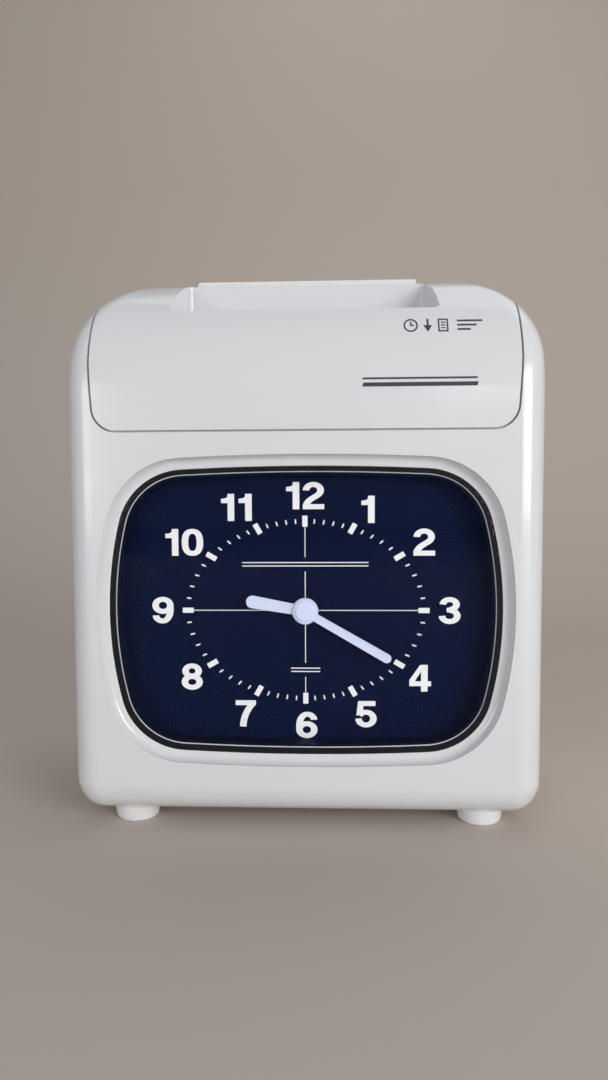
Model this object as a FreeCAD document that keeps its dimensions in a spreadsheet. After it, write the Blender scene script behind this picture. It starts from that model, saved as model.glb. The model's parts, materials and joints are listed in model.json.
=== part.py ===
import FreeCAD, Part
import math
import os
import re
import Sketcher
from FreeCAD import Placement, Rotation, Vector

# Punch time clock: a desk clock that stamps time cards dropped in through the top.
#
# Frame: millimetres, +Z up, +X to the viewer's right, the dial faces -Y.  The origin is on the
# table under the middle of the case.  A "depth" is measured back from the flat front face, so
# Y = depth - body_depth / 2; every helper below takes depths and does that sum itself.

SIZES = {
    # case
    "body_width": 207.0, "body_depth": 130.0, "body_top": 247.1, "foot_height": 7.0, "wall": 2.6,
    "brow_radius": 54.0, "shoulder_radius": 42.0, "lower_radius": 14.0, "front_edge_radius": 12.0,
    "back_radius": 8.0, "split_depth": 100.0, "play": 0.05,
    # hinged top cover
    "seam_bottom": 175.7, "seam_half_low": 90.2, "seam_half_high": 92.2, "seam_high": 206.0,
    "seam_corner": 10.5, "seam_gap": 0.9, "seat_gap": 0.4, "seat_lap": 3.0, "seat_wall": 2.0,
    "hinge_depth": 87.0, "hinge_height": 239.0, "hinge_gap": 0.5, "pin_radius": 1.5,
    "knuckle_inner": 63.0, "knuckle_outer": 69.0,
    # card scoop in the cover
    "lip_depth": 13.5, "lip_height": 228.8, "lip_half": 59.1, "scoop_half": 55.2,
    "scoop_foot_depth": 36.8, "scoop_foot_height": 222.0, "scoop_wall": 2.2,
    "scoop_side_radius": 5.0, "scoop_corner_radius": 3.0,
    # card chute
    "card_front": 36.9, "card_back": 42.0, "guide_wall": 1.5, "ledge_wall": 2.5,
    "ledge_front": 44.6, "scoop_back_wall": 1.2,
    "guide_half": 50.0, "ledge_half": 51.4, "throat_half": 44.5, "ledge_height": 248.5,
    "chute_top": 216.0,
    # window
    "lens_height": 97.8, "lens_half_width": 85.2, "lens_half_height": 62.9,
    "lens_side_radius": 162.0, "lens_top_radius": 1050.0, "lens_corner_radius": 29.4,
    "lens_front": 1.0, "lens_back": 4.4, "lens_round": 1.6, "recess_margin": 5.0,
    "gasket_back": 5.2, "gasket_width": 2.2, "dial_depth": 13.0, "dial_wall": 1.2,
    # clock movement
    "hub_height": 96.8, "carrier_wall": 1.4, "movement_front": 15.6, "movement_back": 34.6,
    "arbor_radius": 1.6, "pipe_radius": 2.8, "motion_drop": 12.5, "reduction_reach": 14.7,
    "rotor_drop": 12.6, "thin_arbor": 0.8, "hour_reach": 26.5, "minute_reach": 43.5,
    # chassis
    "chassis_half": 75.0, "chassis_wall": 1.5, "chassis_base": 20.0, "chassis_front": 17.0,
    "chassis_back": 98.0, "chassis_top": 222.0,
    # card feed
    "feed_height": 172.0, "feed_depth": 48.0, "feed_radius": 7.5, "pinch_depth": 33.4,
    "pinch_radius": 6.0, "feed_shaft_radius": 3.0, "pinch_shaft_radius": 1.5,
    "roller_inner": 13.0, "roller_outer": 27.0,
    # printer
    "rod_depth": 22.0, "rod_height": 193.0, "rod_radius": 3.0, "rail_depth": 29.5,
    "rail_height": 190.5, "rail_radius": 2.0, "pulley_reach": 62.0, "pulley_depth": 26.0,
    "pulley_radius": 5.0, "belt_wall": 0.8, "belt_low": 181.0, "belt_high": 185.0,
    "frame_low": 178.0, "cassette_low": 200.0, "cassette_high": 214.0,
    # key lock
    "lock_depth": 60.0, "lock_height": 190.0, "lock_radius": 8.0,
}

doc = FreeCAD.newDocument("punch_time_clock")
sheet = doc.addObject("Spreadsheet::Sheet", "Sizes")
for row, (alias, size) in enumerate(SIZES.items(), 1):
    sheet.set(f"A{row}", alias)
    sheet.set(f"B{row}", str(size))
    sheet.setAlias(f"B{row}", alias)
doc.recompute()

pieces = {}


# ---------------------------------------------------------------- expressions and helpers

def linked(expression):
    """Turns the size names in an expression into references to the sheet."""
    return re.sub(r"[a-z]\w+", lambda m: "Sizes." + m[0] if m[0] in SIZES else m[0],
                  str(expression))


def value(expression):
    """The number that an expression stands for now."""
    result = sheet.evalExpression(linked(expression))
    return float(getattr(result, "Value", result))


def bind(thing, **properties):
    for name, expression in properties.items():
        thing.setExpression(name.replace("__", "."), linked(expression))


def deep(depth):
    """The Y coordinate of a depth."""
    return f"({depth}) - body_depth / 2"


def keep(label, thing):
    """Makes an object one of the clock's pieces."""
    thing.Label = label
    pieces[label] = thing
    return thing


TURNS = {"x": Rotation(Vector(0, 1, 0), 90), "y": Rotation(Vector(1, 0, 0), -90),
         "z": Rotation()}


def at(thing, x, y, z, turn=None):
    thing.Placement = Placement(Vector(), turn or Rotation())
    bind(thing, Placement__Base__x=x, Placement__Base__y=y, Placement__Base__z=z)
    return thing


def block(name, x, depth, z):
    """A box between pairs of expressions."""
    box = doc.addObject("Part::Box", name)
    bind(box, Length=f"({x[1]}) - ({x[0]})", Width=f"({depth[1]}) - ({depth[0]})",
         Height=f"({z[1]}) - ({z[0]})")
    return at(box, x[0], deep(depth[0]), z[0])


def seat(axis, start, centre):
    """Coordinates of a round thing's first face; centre holds the other two, in x y z order."""
    if axis == "x":
        return start, deep(centre[0]), centre[1]
    if axis == "y":
        return centre[0], deep(start), centre[1]
    return centre[0], deep(centre[1]), start


def rod(name, axis, radius, span, centre):
    """A cylinder along an axis, from span[0] to span[1]."""
    cylinder = doc.addObject("Part::Cylinder", name)
    bind(cylinder, Radius=radius, Height=f"({span[1]}) - ({span[0]})")
    return at(cylinder, *seat(axis, span[0], centre), TURNS[axis])


def taper(name, axis, radii, span, centre):
    """A cone frustum along an axis, with a radius at each end."""
    cone = doc.addObject("Part::Cone", name)
    bind(cone, Radius1=radii[0], Radius2=radii[1], Height=f"({span[1]}) - ({span[0]})")
    return at(cone, *seat(axis, span[0], centre), TURNS[axis])


def fuse(name, *things):
    union = doc.addObject("Part::MultiFuse", name)
    union.Shapes = list(things)
    return union


def common(name, *things):
    overlap = doc.addObject("Part::MultiCommon", name)
    overlap.Shapes = list(things)
    return overlap


def cut(name, base, *tools):
    rest = doc.addObject("Part::Cut", name)
    rest.Base = base
    rest.Tool = tools[0] if len(tools) == 1 else fuse(name + "_tools", *tools)
    return rest


def fillet(name, base, radius, chosen):
    """Rounds the edges of base that chosen(edge, faces) picks."""
    doc.recompute()
    shape = base.Shape
    numbers = [i for i, edge in enumerate(shape.Edges, 1)
               if chosen(edge, shape.ancestorsOfType(edge, Part.Face))]
    rounded = doc.addObject("Part::Fillet", name)
    rounded.Base = base
    rounded.Edges = [(i, value(radius), value(radius)) for i in numbers]
    return rounded


def middle(edge):
    return edge.valueAt((edge.FirstParameter + edge.LastParameter) / 2)


def sharp(edge, faces):
    """Whether two faces meet at an angle along this edge."""
    if len(faces) != 2:
        return False
    spot = middle(edge)
    first, second = [face.normalAt(*face.Surface.parameter(spot)) for face in faces]
    return abs(first.dot(second)) < 0.999


# ---------------------------------------------------------------- sketches and bodies

PLANES = {"XY": Rotation(), "XZ": Rotation(Vector(1, 0, 0), 90),
          "YZ": Rotation(Vector(1, 1, 1), 120)}


def sketch(name, plane, level, body=None):
    """A sketch parallel to a plane: level is its height, its depth or its X."""
    drawing = (body or doc).addObject("Sketcher::SketchObject", name) if body is None \
        else body.newObject("Sketcher::SketchObject", name)
    drawing.addProperty("App::PropertyString", "Plane")
    drawing.Plane = plane
    if body is None:
        x, y, z = ("0", "0", level) if plane == "XY" else \
            ("0", deep(level), "0") if plane == "XZ" else (level, "0", "0")
        return at(drawing, x, y, z, PLANES[plane])
    origin_plane = next(f for f in body.Origin.OriginFeatures if f.Role == plane + "_Plane")
    drawing.AttachmentSupport = [(origin_plane, "")]
    drawing.MapMode = "FlatFace"
    offset = f"-({deep(level)})" if plane == "XZ" else level
    drawing.setExpression("AttachmentOffset.Base.z", linked(offset))
    return drawing


def flat(drawing, x, y):
    """Sheet expressions of a point of a sketch: a depth becomes a Y."""
    if drawing.Plane == "YZ":
        return deep(x), y
    if drawing.Plane == "XY":
        return x, deep(y)
    return x, y


def fix(drawing, geometry, end, x, y):
    """Ties a point of a sketch to its coordinates."""
    for kind, expression in (("DistanceX", x), ("DistanceY", y)):
        number = drawing.addConstraint(
            Sketcher.Constraint(kind, -1, 1, geometry, end, value(expression)))
        drawing.setExpression(f"Constraints[{number}]", linked(expression))


def circle(drawing, x, y, radius):
    x, y = flat(drawing, x, y)
    centre = Vector(value(x), value(y), 0)
    ring = drawing.addGeometry(Part.Circle(centre, Vector(0, 0, 1), value(radius)))
    fix(drawing, ring, 3, x, y)
    number = drawing.addConstraint(Sketcher.Constraint("Radius", ring, value(radius)))
    drawing.setExpression(f"Constraints[{number}]", linked(radius))
    return drawing


def outline(drawing, corners):
    """A closed outline of straight sides.  Each corner is (x, y) or (x, y, radius)."""
    spots = [flat(drawing, corner[0], corner[1]) for corner in corners]
    points = [Vector(value(x), value(y), 0) for x, y in spots]
    radii = [value(corner[2]) if len(corner) > 2 else 0.0 for corner in corners]
    count = len(corners)
    starts, ends, arcs = [], [], []
    for i, point in enumerate(points):
        before = (points[i - 1] - point).normalize()
        after = (points[(i + 1) % count] - point).normalize()
        half = before.getAngle(after) / 2
        reach = radii[i] / math.tan(half)
        ends.append(point + before * reach)
        starts.append(point + after * reach)
        if not radii[i]:
            arcs.append(None)
            continue
        inward = (before + after).normalize()
        knee = point + inward * (radii[i] / math.sin(half) - radii[i])
        arcs.append(Part.Arc(ends[i], knee, starts[i]))
    lines = [drawing.addGeometry(Part.LineSegment(starts[i], ends[(i + 1) % count]))
             for i in range(count)]
    for i, arc in enumerate(arcs):
        before, after = lines[i - 1], lines[i]
        if arc is None:
            drawing.addConstraint(Sketcher.Constraint("Coincident", before, 2, after, 1))
            fix(drawing, after, 1, *spots[i])
            continue
        bend = drawing.addGeometry(arc)
        near = 1 if (drawing.getPoint(bend, 1) - ends[i]).Length < 1e-6 else 2
        drawing.addConstraint(Sketcher.Constraint("Tangent", before, 2, bend, near))
        drawing.addConstraint(Sketcher.Constraint("Tangent", bend, 3 - near, after, 1))
        number = drawing.addConstraint(Sketcher.Constraint("Radius", bend, radii[i]))
        drawing.setExpression(f"Constraints[{number}]", linked(corners[i][2]))
        corner = drawing.addGeometry(Part.Point(points[i]), True)
        drawing.addConstraint(Sketcher.Constraint("PointOnObject", corner, 1, before))
        drawing.addConstraint(Sketcher.Constraint("PointOnObject", corner, 1, after))
        fix(drawing, corner, 1, *spots[i])
    return drawing


def rectangle(drawing, x, y, radius=None):
    """A rectangle between pairs of expressions, its corners rounded if a radius is given."""
    extra = () if radius is None else (radius,)
    return outline(drawing, [(x[0], y[0], *extra), (x[1], y[0], *extra),
                             (x[1], y[1], *extra), (x[0], y[1], *extra)])


def window_outline(drawing, margin):
    """The bowed outline of the window, grown all round by a margin: eight tangent arcs."""
    side, top, corner = [value(f"lens_{name}_radius + ({margin})")
                         for name in ("side", "top", "corner")]
    height = value("lens_height")
    side_centre = Vector(value("lens_half_width - lens_side_radius"), 0, 0)
    top_centre = Vector(0, value("lens_half_height - lens_top_radius"), 0)
    # the corner's centre is (side - corner) from one centre and (top - corner) from the other
    apart = top_centre - side_centre
    span = apart.Length
    along = ((side - corner) ** 2 - (top - corner) ** 2 + span ** 2) / (2 * span)
    across = math.sqrt((side - corner) ** 2 - along ** 2)
    unit = apart / span
    corner_centre = side_centre + unit * along + Vector(-unit.y, unit.x, 0) * across
    side_angle = math.atan2(corner_centre.y - side_centre.y, corner_centre.x - side_centre.x)
    top_angle = math.atan2(corner_centre.y - top_centre.y, corner_centre.x - top_centre.x)
    turn = math.pi / 2
    right = (side_centre, side, -side_angle, side_angle)
    upper_right = (corner_centre, corner, side_angle, top_angle)
    upper = (top_centre, top, top_angle, math.pi - top_angle)
    upper_left = (Vector(-corner_centre.x, corner_centre.y, 0), corner,
                  math.pi - top_angle, math.pi - side_angle)
    half_turn = [(centre * -1, radius, start + 2 * turn, end + 2 * turn)
                 for centre, radius, start, end in (right, upper_right, upper, upper_left)]
    spans = [right, upper_right, upper, upper_left] + half_turn
    arcs = [drawing.addGeometry(Part.ArcOfCircle(
        Part.Circle(centre + Vector(0, height, 0), Vector(0, 0, 1), radius), start, end))
        for centre, radius, start, end in spans]
    for i, arc in enumerate(arcs):
        drawing.addConstraint(
            Sketcher.Constraint("Tangent", arc, 2, arcs[(i + 1) % len(arcs)], 1))
    reach = "lens_half_width - lens_side_radius"
    rise = "lens_half_height - lens_top_radius"
    fix(drawing, arcs[0], 3, reach, "lens_height")
    fix(drawing, arcs[4], 3, f"-({reach})", "lens_height")
    fix(drawing, arcs[2], 3, "0", f"lens_height + {rise}")
    fix(drawing, arcs[6], 3, "0", f"lens_height - ({rise})")
    for i, name in ((0, "side"), (4, "side"), (2, "top"), (6, "top"),
                    (1, "corner"), (3, "corner"), (5, "corner"), (7, "corner")):
        radius = f"lens_{name}_radius + ({margin})"
        number = drawing.addConstraint(Sketcher.Constraint("Radius", arcs[i], value(radius)))
        drawing.setExpression(f"Constraints[{number}]", linked(radius))
    return drawing


def prism(name, drawing, length):
    """A sketch drawn out towards +X, +Y or +Z."""
    bar = doc.addObject("Part::Extrusion", name)
    bar.Base = drawing
    bar.DirMode = "Custom"
    bar.Dir = {"XY": Vector(0, 0, 1), "XZ": Vector(0, 1, 0), "YZ": Vector(1, 0, 0)}[drawing.Plane]
    bar.Solid = True
    bind(bar, LengthFwd=length)
    return bar


def window_prism(name, margin, front, back):
    drawing = window_outline(sketch(name + "_outline", "XZ", front), margin)
    return prism(name, drawing, f"({back}) - ({front})")


def body(label):
    return keep(label, doc.addObject("PartDesign::Body", label))


def pad(holder, drawing, length):
    """Adds material from the sketch towards +X, +Y or +Z."""
    feature = holder.newObject("PartDesign::Pad", drawing.Name + "_pad")
    feature.Profile = drawing
    feature.Reversed = drawing.Plane == "XZ"
    bind(feature, Length=length)
    return feature


def pocket(holder, drawing, length):
    """Cuts from the sketch towards +X, +Y or +Z, and makes sure that something was cut."""
    doc.recompute()
    before = holder.Shape.Volume
    feature = holder.newObject("PartDesign::Pocket", drawing.Name + "_pocket")
    feature.Profile = drawing
    feature.Reversed = drawing.Plane != "XZ"
    bind(feature, Length=length)
    doc.recompute()
    if holder.Shape.Volume > before - 1e-3:
        raise ValueError(f"{feature.Name} cuts nothing")
    return feature


def slab(label, plane, level, thickness, draw, *cuts):
    """A flat piece: draw(sketch) makes its outline, and each cut(sketch) pockets right through."""
    holder = body(label)
    pad(holder, draw(sketch(label + "_outline", plane, level, holder)), thickness)
    for i, draw_cut in enumerate(cuts):
        drawing = draw_cut(sketch(f"{label}_cut{i}", plane, level, holder))
        pocket(holder, drawing, thickness)
    return holder


# ---------------------------------------------------------------- master form of the case

def form(name, inset):
    """The outside of the case, drawn in by an inset: side profile and front outline combined."""
    low, top = f"foot_height + {inset}", f"body_top - {inset}"
    half = f"body_width / 2 - {inset}"
    lower, back = f"lower_radius - {inset}", f"back_radius - {inset}"
    shoulder, brow = f"shoulder_radius - {inset}", f"brow_radius - {inset}"
    front = outline(sketch(name + "_front", "XZ", "0"),
                    [(f"-({half})", low, lower), (half, low, lower),
                     (half, top, shoulder), (f"-({half})", top, shoulder)])
    side = outline(sketch(name + "_side", "YZ", "-body_width / 2"),
                   [(inset, low, lower), (f"body_depth - {inset}", low, back),
                    (f"body_depth - {inset}", top, back), (inset, top, brow)])
    whole = common(name + "_block", prism(name + "_front_prism", front, "body_depth"),
                   prism(name + "_side_prism", side, "body_width"))
    whole.Refine = True
    return fillet(name, whole, f"front_edge_radius - {inset}",
                  lambda edge, faces: sharp(edge, faces) and edge.BoundBox.YMin < 0)


outer_form = form("outer_form", "0")
inner_form = form("inner_form", "wall")
seat_form = form("seat_form", "(wall + seat_gap)")
seat_inner_form = form("seat_inner_form", "(wall + seat_gap + seat_wall)")
skin = cut("skin", outer_form, inner_form)


def seam_prism(name, margin, back):
    """Everything inside the cover's seam, grown by a margin, from the front to a depth."""
    low, high = f"(seam_half_low + {margin})", f"(seam_half_high + {margin})"
    bottom = f"seam_bottom - ({margin})"
    radius = f"seam_corner + ({margin})"
    drawing = outline(sketch(name + "_outline", "XZ", "-1"),
                      [(f"-{low}", bottom, radius), (low, bottom, radius), (high, "seam_high"),
                       (high, "body_top + 10"), (f"-{high}", "body_top + 10"),
                       (f"-{high}", "seam_high")])
    return prism(name, drawing, f"({back}) + 1")


def hinge_rod(name, radius, half):
    return rod(name, "x", radius, (f"-({half})", half), ("hinge_depth", "hinge_height"))


# ---------------------------------------------------------------- top cover

EDGE_ROUND = "body_top - hinge_height"


def scoop_solid(name, grow):
    """The card scoop as a solid, its floor, back and sides moved out by grow.

    A trough with rounded floor corners runs down and back, and a plan outline trims its sides,
    which draw in towards the back wall.
    """
    slope = "(lip_height - scoop_foot_height) / (scoop_foot_depth - lip_depth)"
    flare = "(lip_half - scoop_half) / (card_back - lip_depth)"
    front, back = "(lip_depth - 9)", f"(card_back + {grow})"
    wide = f"(lip_half + 9 * {flare} + {grow})"
    narrow = f"(scoop_half + {grow})"
    floor_height = f"lip_height + 9 * {slope} - {grow}"
    mouth = outline(sketch(name + "_mouth", "XZ", front),
                    [(f"-{wide}", floor_height, "scoop_side_radius"),
                     (wide, floor_height, "scoop_side_radius"),
                     (wide, "body_top + 40"), (f"-{wide}", "body_top + 40")])
    trough = prism(name + "_trough", mouth, f"({back} - {front} + 5) * sqrt(1 + ({slope}) ^ 2)")
    trough.Dir = Vector(0, 1, -value(slope))
    plan = outline(sketch(name + "_plan", "XY", "scoop_foot_height - 12"),
                   [(f"-{wide}", front), (wide, front), (narrow, back, "scoop_corner_radius"),
                    (f"-{narrow}", back, "scoop_corner_radius")])
    return common(name, trough, prism(name + "_plan_prism", plan, "60"))


def make_top_cover():
    half = "seam_half_high - seam_gap / 2"
    inside_seam = seam_prism("cover_prism", "(-seam_gap / 2)", "hinge_depth")
    tail = hinge_rod("cover_tail_rod", EDGE_ROUND, half)
    tail_reach = block("cover_tail_reach", (f"-({half})", half), ("hinge_depth - 1", "body_depth"),
                       ("hinge_height - 20", "body_top + 10"))
    tail_zone = common("cover_tail_zone", tail, tail_reach)
    shell = common("cover_shell", skin, fuse("cover_zone", inside_seam, tail_zone))
    ring = cut("cover_tail_ring", hinge_rod("cover_ring_out", EDGE_ROUND, half),
               hinge_rod("cover_ring_in", f"{EDGE_ROUND} - wall", half))
    quadrant = block("cover_quadrant", (f"-({half})", half), ("hinge_depth", "body_depth"),
                     ("hinge_height", "body_top + 10"))
    rounded_tail = common("cover_rounded_tail", ring, quadrant, outer_form)
    tub = common("cover_tub", scoop_solid("scoop_outside", "scoop_wall"), outer_form)
    lugs = []
    for side, sign in (("left", -1), ("right", 1)):
        near, far = sorted((f"{sign} * (knuckle_inner - 8)", f"{sign} * (knuckle_inner - 0.5)"),
                           key=value)
        centre = ("hinge_depth", "hinge_height")
        lugs.append(rod(f"cover_lug_{side}", "x", f"{EDGE_ROUND} - 1.5", (near, far), centre))
    solid = fuse("cover_solid", shell, rounded_tail, tub, *lugs)
    throat = block("cover_throat", ("-(throat_half + 2)", "throat_half + 2"),
                   ("scoop_foot_depth", "card_back"), ("chute_top - 20", "body_top + 10"))
    slot = block("cover_slot", ("-(ledge_half + 0.7)", "ledge_half + 0.7"),
                 ("card_back + scoop_back_wall", "ledge_front + ledge_wall + 0.6"),
                 ("chute_top - 20", "body_top + 10"))
    notches = []
    for side, sign in (("left", -1), ("right", 1)):
        near, far = sorted((f"{sign} * (knuckle_inner - 0.5)", f"{sign} * (knuckle_outer + 0.5)"),
                           key=value)
        notches.append(block(f"cover_notch_{side}", (near, far),
                             (f"hinge_depth - ({EDGE_ROUND}) - 0.5", "body_depth"),
                             ("hinge_height - 20", "body_top + 10")))
    bores = hinge_rod("cover_bore", "pin_radius + play", "knuckle_outer")
    void = scoop_solid("scoop_inside", "0")
    keep("top_cover", cut("top_cover", solid, void, throat, slot, bores, *notches))


# ---------------------------------------------------------------- front casing

SCREW_POSTS = [(x, z) for x in ("-(body_width / 2 - 7.5)", "body_width / 2 - 7.5")
               for z in ("24", "196")]
CARRIER_POSTS = [(x, z) for x in ("-92.5", "92.5") for z in ("52", "144")]
CHASSIS_POSTS = [(x, depth) for x in ("-60", "60") for depth in ("56", "88")]
FOOT_SPOTS = [(x, depth) for x in ("-78.7", "78.7") for depth in ("20", "112")]


def make_front_casing():
    front_zone = block("front_zone", ("-body_width", "body_width"), ("-5", "split_depth"),
                       ("0", "body_top + 10"))
    shell = common("front_shell", skin, front_zone)
    opening = seam_prism("seam_cut", "(seam_gap / 2)", "hinge_depth")
    shell_open = cut("front_shell_open", shell, opening)

    seat_band = cut("seat_band", seam_prism("seat_outside", "4", "hinge_depth"),
                    seam_prism("seat_inside", "(-seat_lap)", "hinge_depth + 5"))
    lip = common("seat_lip", cut("seat_shell", seat_form, seat_inner_form), seat_band)
    root_band = cut("seat_root_band", seat_band,
                    seam_prism("seat_root_inside", "(seam_gap / 2)", "hinge_depth + 5"))
    root = common("seat_root", cut("seat_root_shell", inner_form, seat_inner_form), root_band)

    well = common("well", window_prism("well_block", "recess_margin + 2.6", "0", "7.8"), outer_form)
    well_tube = window_prism("well_tube", "-1", "7", "dial_depth")
    posts = []
    for i, (x, z) in enumerate(SCREW_POSTS):
        post = rod(f"front_post{i}", "y", "5", ("split_depth - 12", "split_depth"), (x, z))
        posts.append(common(f"front_post_trim{i}", post, outer_form))
    for i, (x, z) in enumerate(CARRIER_POSTS):
        posts.append(rod(f"carrier_post{i}", "y", "3.5",
                         ("wall - 0.5", "dial_depth + dial_wall"), (x, z)))
    for i, (x, depth) in enumerate(CHASSIS_POSTS):
        posts.append(rod(f"chassis_post{i}", "z", "4", ("foot_height + 1", "chassis_base"),
                         (x, depth)))
    for i, (x, depth) in enumerate(FOOT_SPOTS[::2]):
        pad_disc = rod(f"front_foot_pad{i}", "z", "10", ("foot_height", "foot_height + wall + 3"),
                       (x, depth))
        posts.append(pad_disc)

    trough = common("hinge_trough", outer_form,
                    block("hinge_trough_block", ("-body_width / 2", "body_width / 2"),
                          (f"hinge_depth + {EDGE_ROUND} + hinge_gap",
                           f"hinge_depth + {EDGE_ROUND} + hinge_gap + 2.2"),
                          ("hinge_height - 8", "body_top + 5")))
    solid = fuse("front_solid", shell_open, lip, root, well, well_tube, trough, *posts)

    half = "seam_half_high + seam_gap / 2"
    hinge_room = hinge_rod("hinge_room", f"{EDGE_ROUND} + hinge_gap", half)
    hinge_top_room = block("hinge_top_room", (f"-({half})", half),
                           ("hinge_depth - 2", f"hinge_depth + {EDGE_ROUND} + hinge_gap"),
                           ("hinge_height", "body_top + 5"))
    recess = fillet("recess", window_prism("recess_block", "recess_margin", "-1", "lens_back + 0.1"),
                    "lens_back - 0.9", lambda edge, faces: edge.BoundBox.YMin > value(deep("1")))
    gasket_seat = window_prism("gasket_seat", "0.15", "0", "gasket_back")
    view = window_prism("window_hole", "-2.6", "0", "dial_depth + 2")
    holes = [rod("lock_hole", "x", "lock_radius + 0.1", ("body_width / 2 - 8", "body_width / 2 + 1"),
                 ("lock_depth", "lock_height"))]
    for i, (x, z) in enumerate(SCREW_POSTS):
        holes.append(rod(f"front_pilot{i}", "y", "1.4", ("split_depth - 8", "split_depth"), (x, z)))
    for i, (x, z) in enumerate(CARRIER_POSTS):
        holes.append(rod(f"carrier_pilot{i}", "y", "1.2",
                         ("dial_depth + dial_wall - 7", "dial_depth + dial_wall"), (x, z)))
    for i, (x, depth) in enumerate(CHASSIS_POSTS):
        holes.append(rod(f"chassis_pilot{i}", "z", "1.4", ("chassis_base - 7", "chassis_base"),
                         (x, depth)))
    for i, (x, depth) in enumerate(FOOT_SPOTS[::2]):
        holes.append(rod(f"front_foot_pilot{i}", "z", "1.4",
                         ("foot_height", "foot_height + wall + 2"), (x, depth)))
    open_solid = cut("front_open", solid, hinge_room, hinge_top_room, recess, gasket_seat, view,
                     *holes)

    knuckles = []
    for side, sign in (("left", -1), ("right", 1)):
        near, far = sorted((f"{sign} * knuckle_inner", f"{sign} * knuckle_outer"), key=value)
        barrel = rod(f"knuckle_{side}", "x", EDGE_ROUND, (near, far),
                     ("hinge_depth", "hinge_height"))
        web = block(f"knuckle_web_{side}", (near, far),
                    ("hinge_depth", f"hinge_depth + {EDGE_ROUND} + 2"),
                    ("hinge_height - 5", "hinge_height + 2"))
        knuckles += [barrel, web]
    whole = fuse("front_whole", open_solid, *knuckles)
    keep("front_casing", cut("front_casing", whole,
                             hinge_rod("front_pin_hole", "pin_radius", "knuckle_outer - 0.8")))


# ---------------------------------------------------------------- rear casing

BOARD_POSTS = [(x, z) for x in ("-60", "60") for z in ("46", "142")]
VENT_COUNT = 11
INLET_X, INLET_Z = "62", "32"


def make_rear_casing():
    zone = block("rear_zone", ("-body_width", "body_width"), ("split_depth", "body_depth + 5"),
                 ("0", "body_top + 10"))
    additions = [common("rear_shell", skin, zone)]
    holes = []
    for i, (x, z) in enumerate(SCREW_POSTS):
        post = rod(f"rear_post{i}", "y", "5", ("split_depth", "body_depth"), (x, z))
        additions.append(common(f"rear_post_trim{i}", post, outer_form))
        holes.append(rod(f"rear_screw_hole{i}", "y", "1.7", ("split_depth", "body_depth"), (x, z)))
        holes.append(rod(f"rear_screw_well{i}", "y", "3.3",
                         ("split_depth + 14", "body_depth"), (x, z)))
    for i, (x, z) in enumerate(BOARD_POSTS):
        additions.append(rod(f"board_post{i}", "y", "3.5", ("split_depth + 5.6", "body_depth - 1"),
                             (x, z)))
        holes.append(rod(f"board_pilot{i}", "y", "1.2", ("split_depth + 5.6", "split_depth + 15"),
                         (x, z)))
    for i, (x, depth) in enumerate(FOOT_SPOTS[1::2]):
        additions.append(rod(f"rear_foot_pad{i}", "z", "10",
                             ("foot_height", "foot_height + wall + 3"), (x, depth)))
        holes.append(rod(f"rear_foot_pilot{i}", "z", "1.4",
                         ("foot_height", "foot_height + wall + 2"), (x, depth)))
    for i in range(VENT_COUNT):
        x = f"-88 + {i} * 6"
        holes.append(block(f"vent{i}", (x, f"{x} + 3"), ("body_depth - 6", "body_depth + 1"),
                           ("160", "196")))
    for side, x in (("left", "-50"), ("right", "50")):
        wall_span = ("body_depth - 4", "body_depth + 1")
        holes.append(rod(f"key_head_{side}", "y", "4.2", wall_span, (x, "208")))
        holes.append(rod(f"key_neck_{side}", "y", "2.2", wall_span, (x, "216")))
        holes.append(block(f"key_slot_{side}", (f"{x} - 2.2", f"{x} + 2.2"), wall_span,
                           ("208", "216")))
    holes.append(block("inlet_hole", (f"{INLET_X} - 11.1", f"{INLET_X} + 11.1"),
                       ("body_depth - 4", "body_depth + 1"),
                       (f"{INLET_Z} - 7.1", f"{INLET_Z} + 7.1")))
    keep("rear_casing", cut("rear_casing", fuse("rear_solid", *additions), *holes))


# ---------------------------------------------------------------- feet and fasteners

def group(label, things):
    """Several separate solids that share one name."""
    together = doc.addObject("Part::Compound", label)
    together.Links = things
    return keep(label, together)


def screw(name, axis, centre, head, shank):
    """A screw: head and shank are (radius, start, end)."""
    return fuse(name, rod(name + "_head", axis, head[0], head[1:], centre),
                rod(name + "_shank", axis, shank[0], shank[1:], centre))


def make_feet():
    """Four feet, and the screws that hold them and the rear casing."""
    feet, screws = [], []
    for i, (x, depth) in enumerate(FOOT_SPOTS):
        raw = taper(f"foot_cone{i}", "z", ("9.4", "10.7"), ("0", "foot_height"), (x, depth))
        rounded = fillet(f"foot_round{i}", raw, "1.2", lambda edge, faces: edge.BoundBox.ZMax < 0.1)
        feet.append(cut(f"foot{i}", rounded,
                        rod(f"foot_hole{i}", "z", "1.7", ("0", "foot_height"), (x, depth)),
                        rod(f"foot_well{i}", "z", "3.6", ("0", "4"), (x, depth))))
        screws.append(screw(f"foot_screw{i}", "z", (x, depth), ("3", "1.6", "4"),
                            ("1.4", "4", "foot_height + wall + 1.5")))
    for i, (x, z) in enumerate(SCREW_POSTS):
        screws.append(screw(f"casing_screw{i}", "y", (x, z),
                            ("3", "split_depth + 14", "split_depth + 16.4"),
                            ("1.4", "split_depth - 7", "split_depth + 14")))
    group("feet", feet)
    group("casing_screws", screws)


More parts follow.
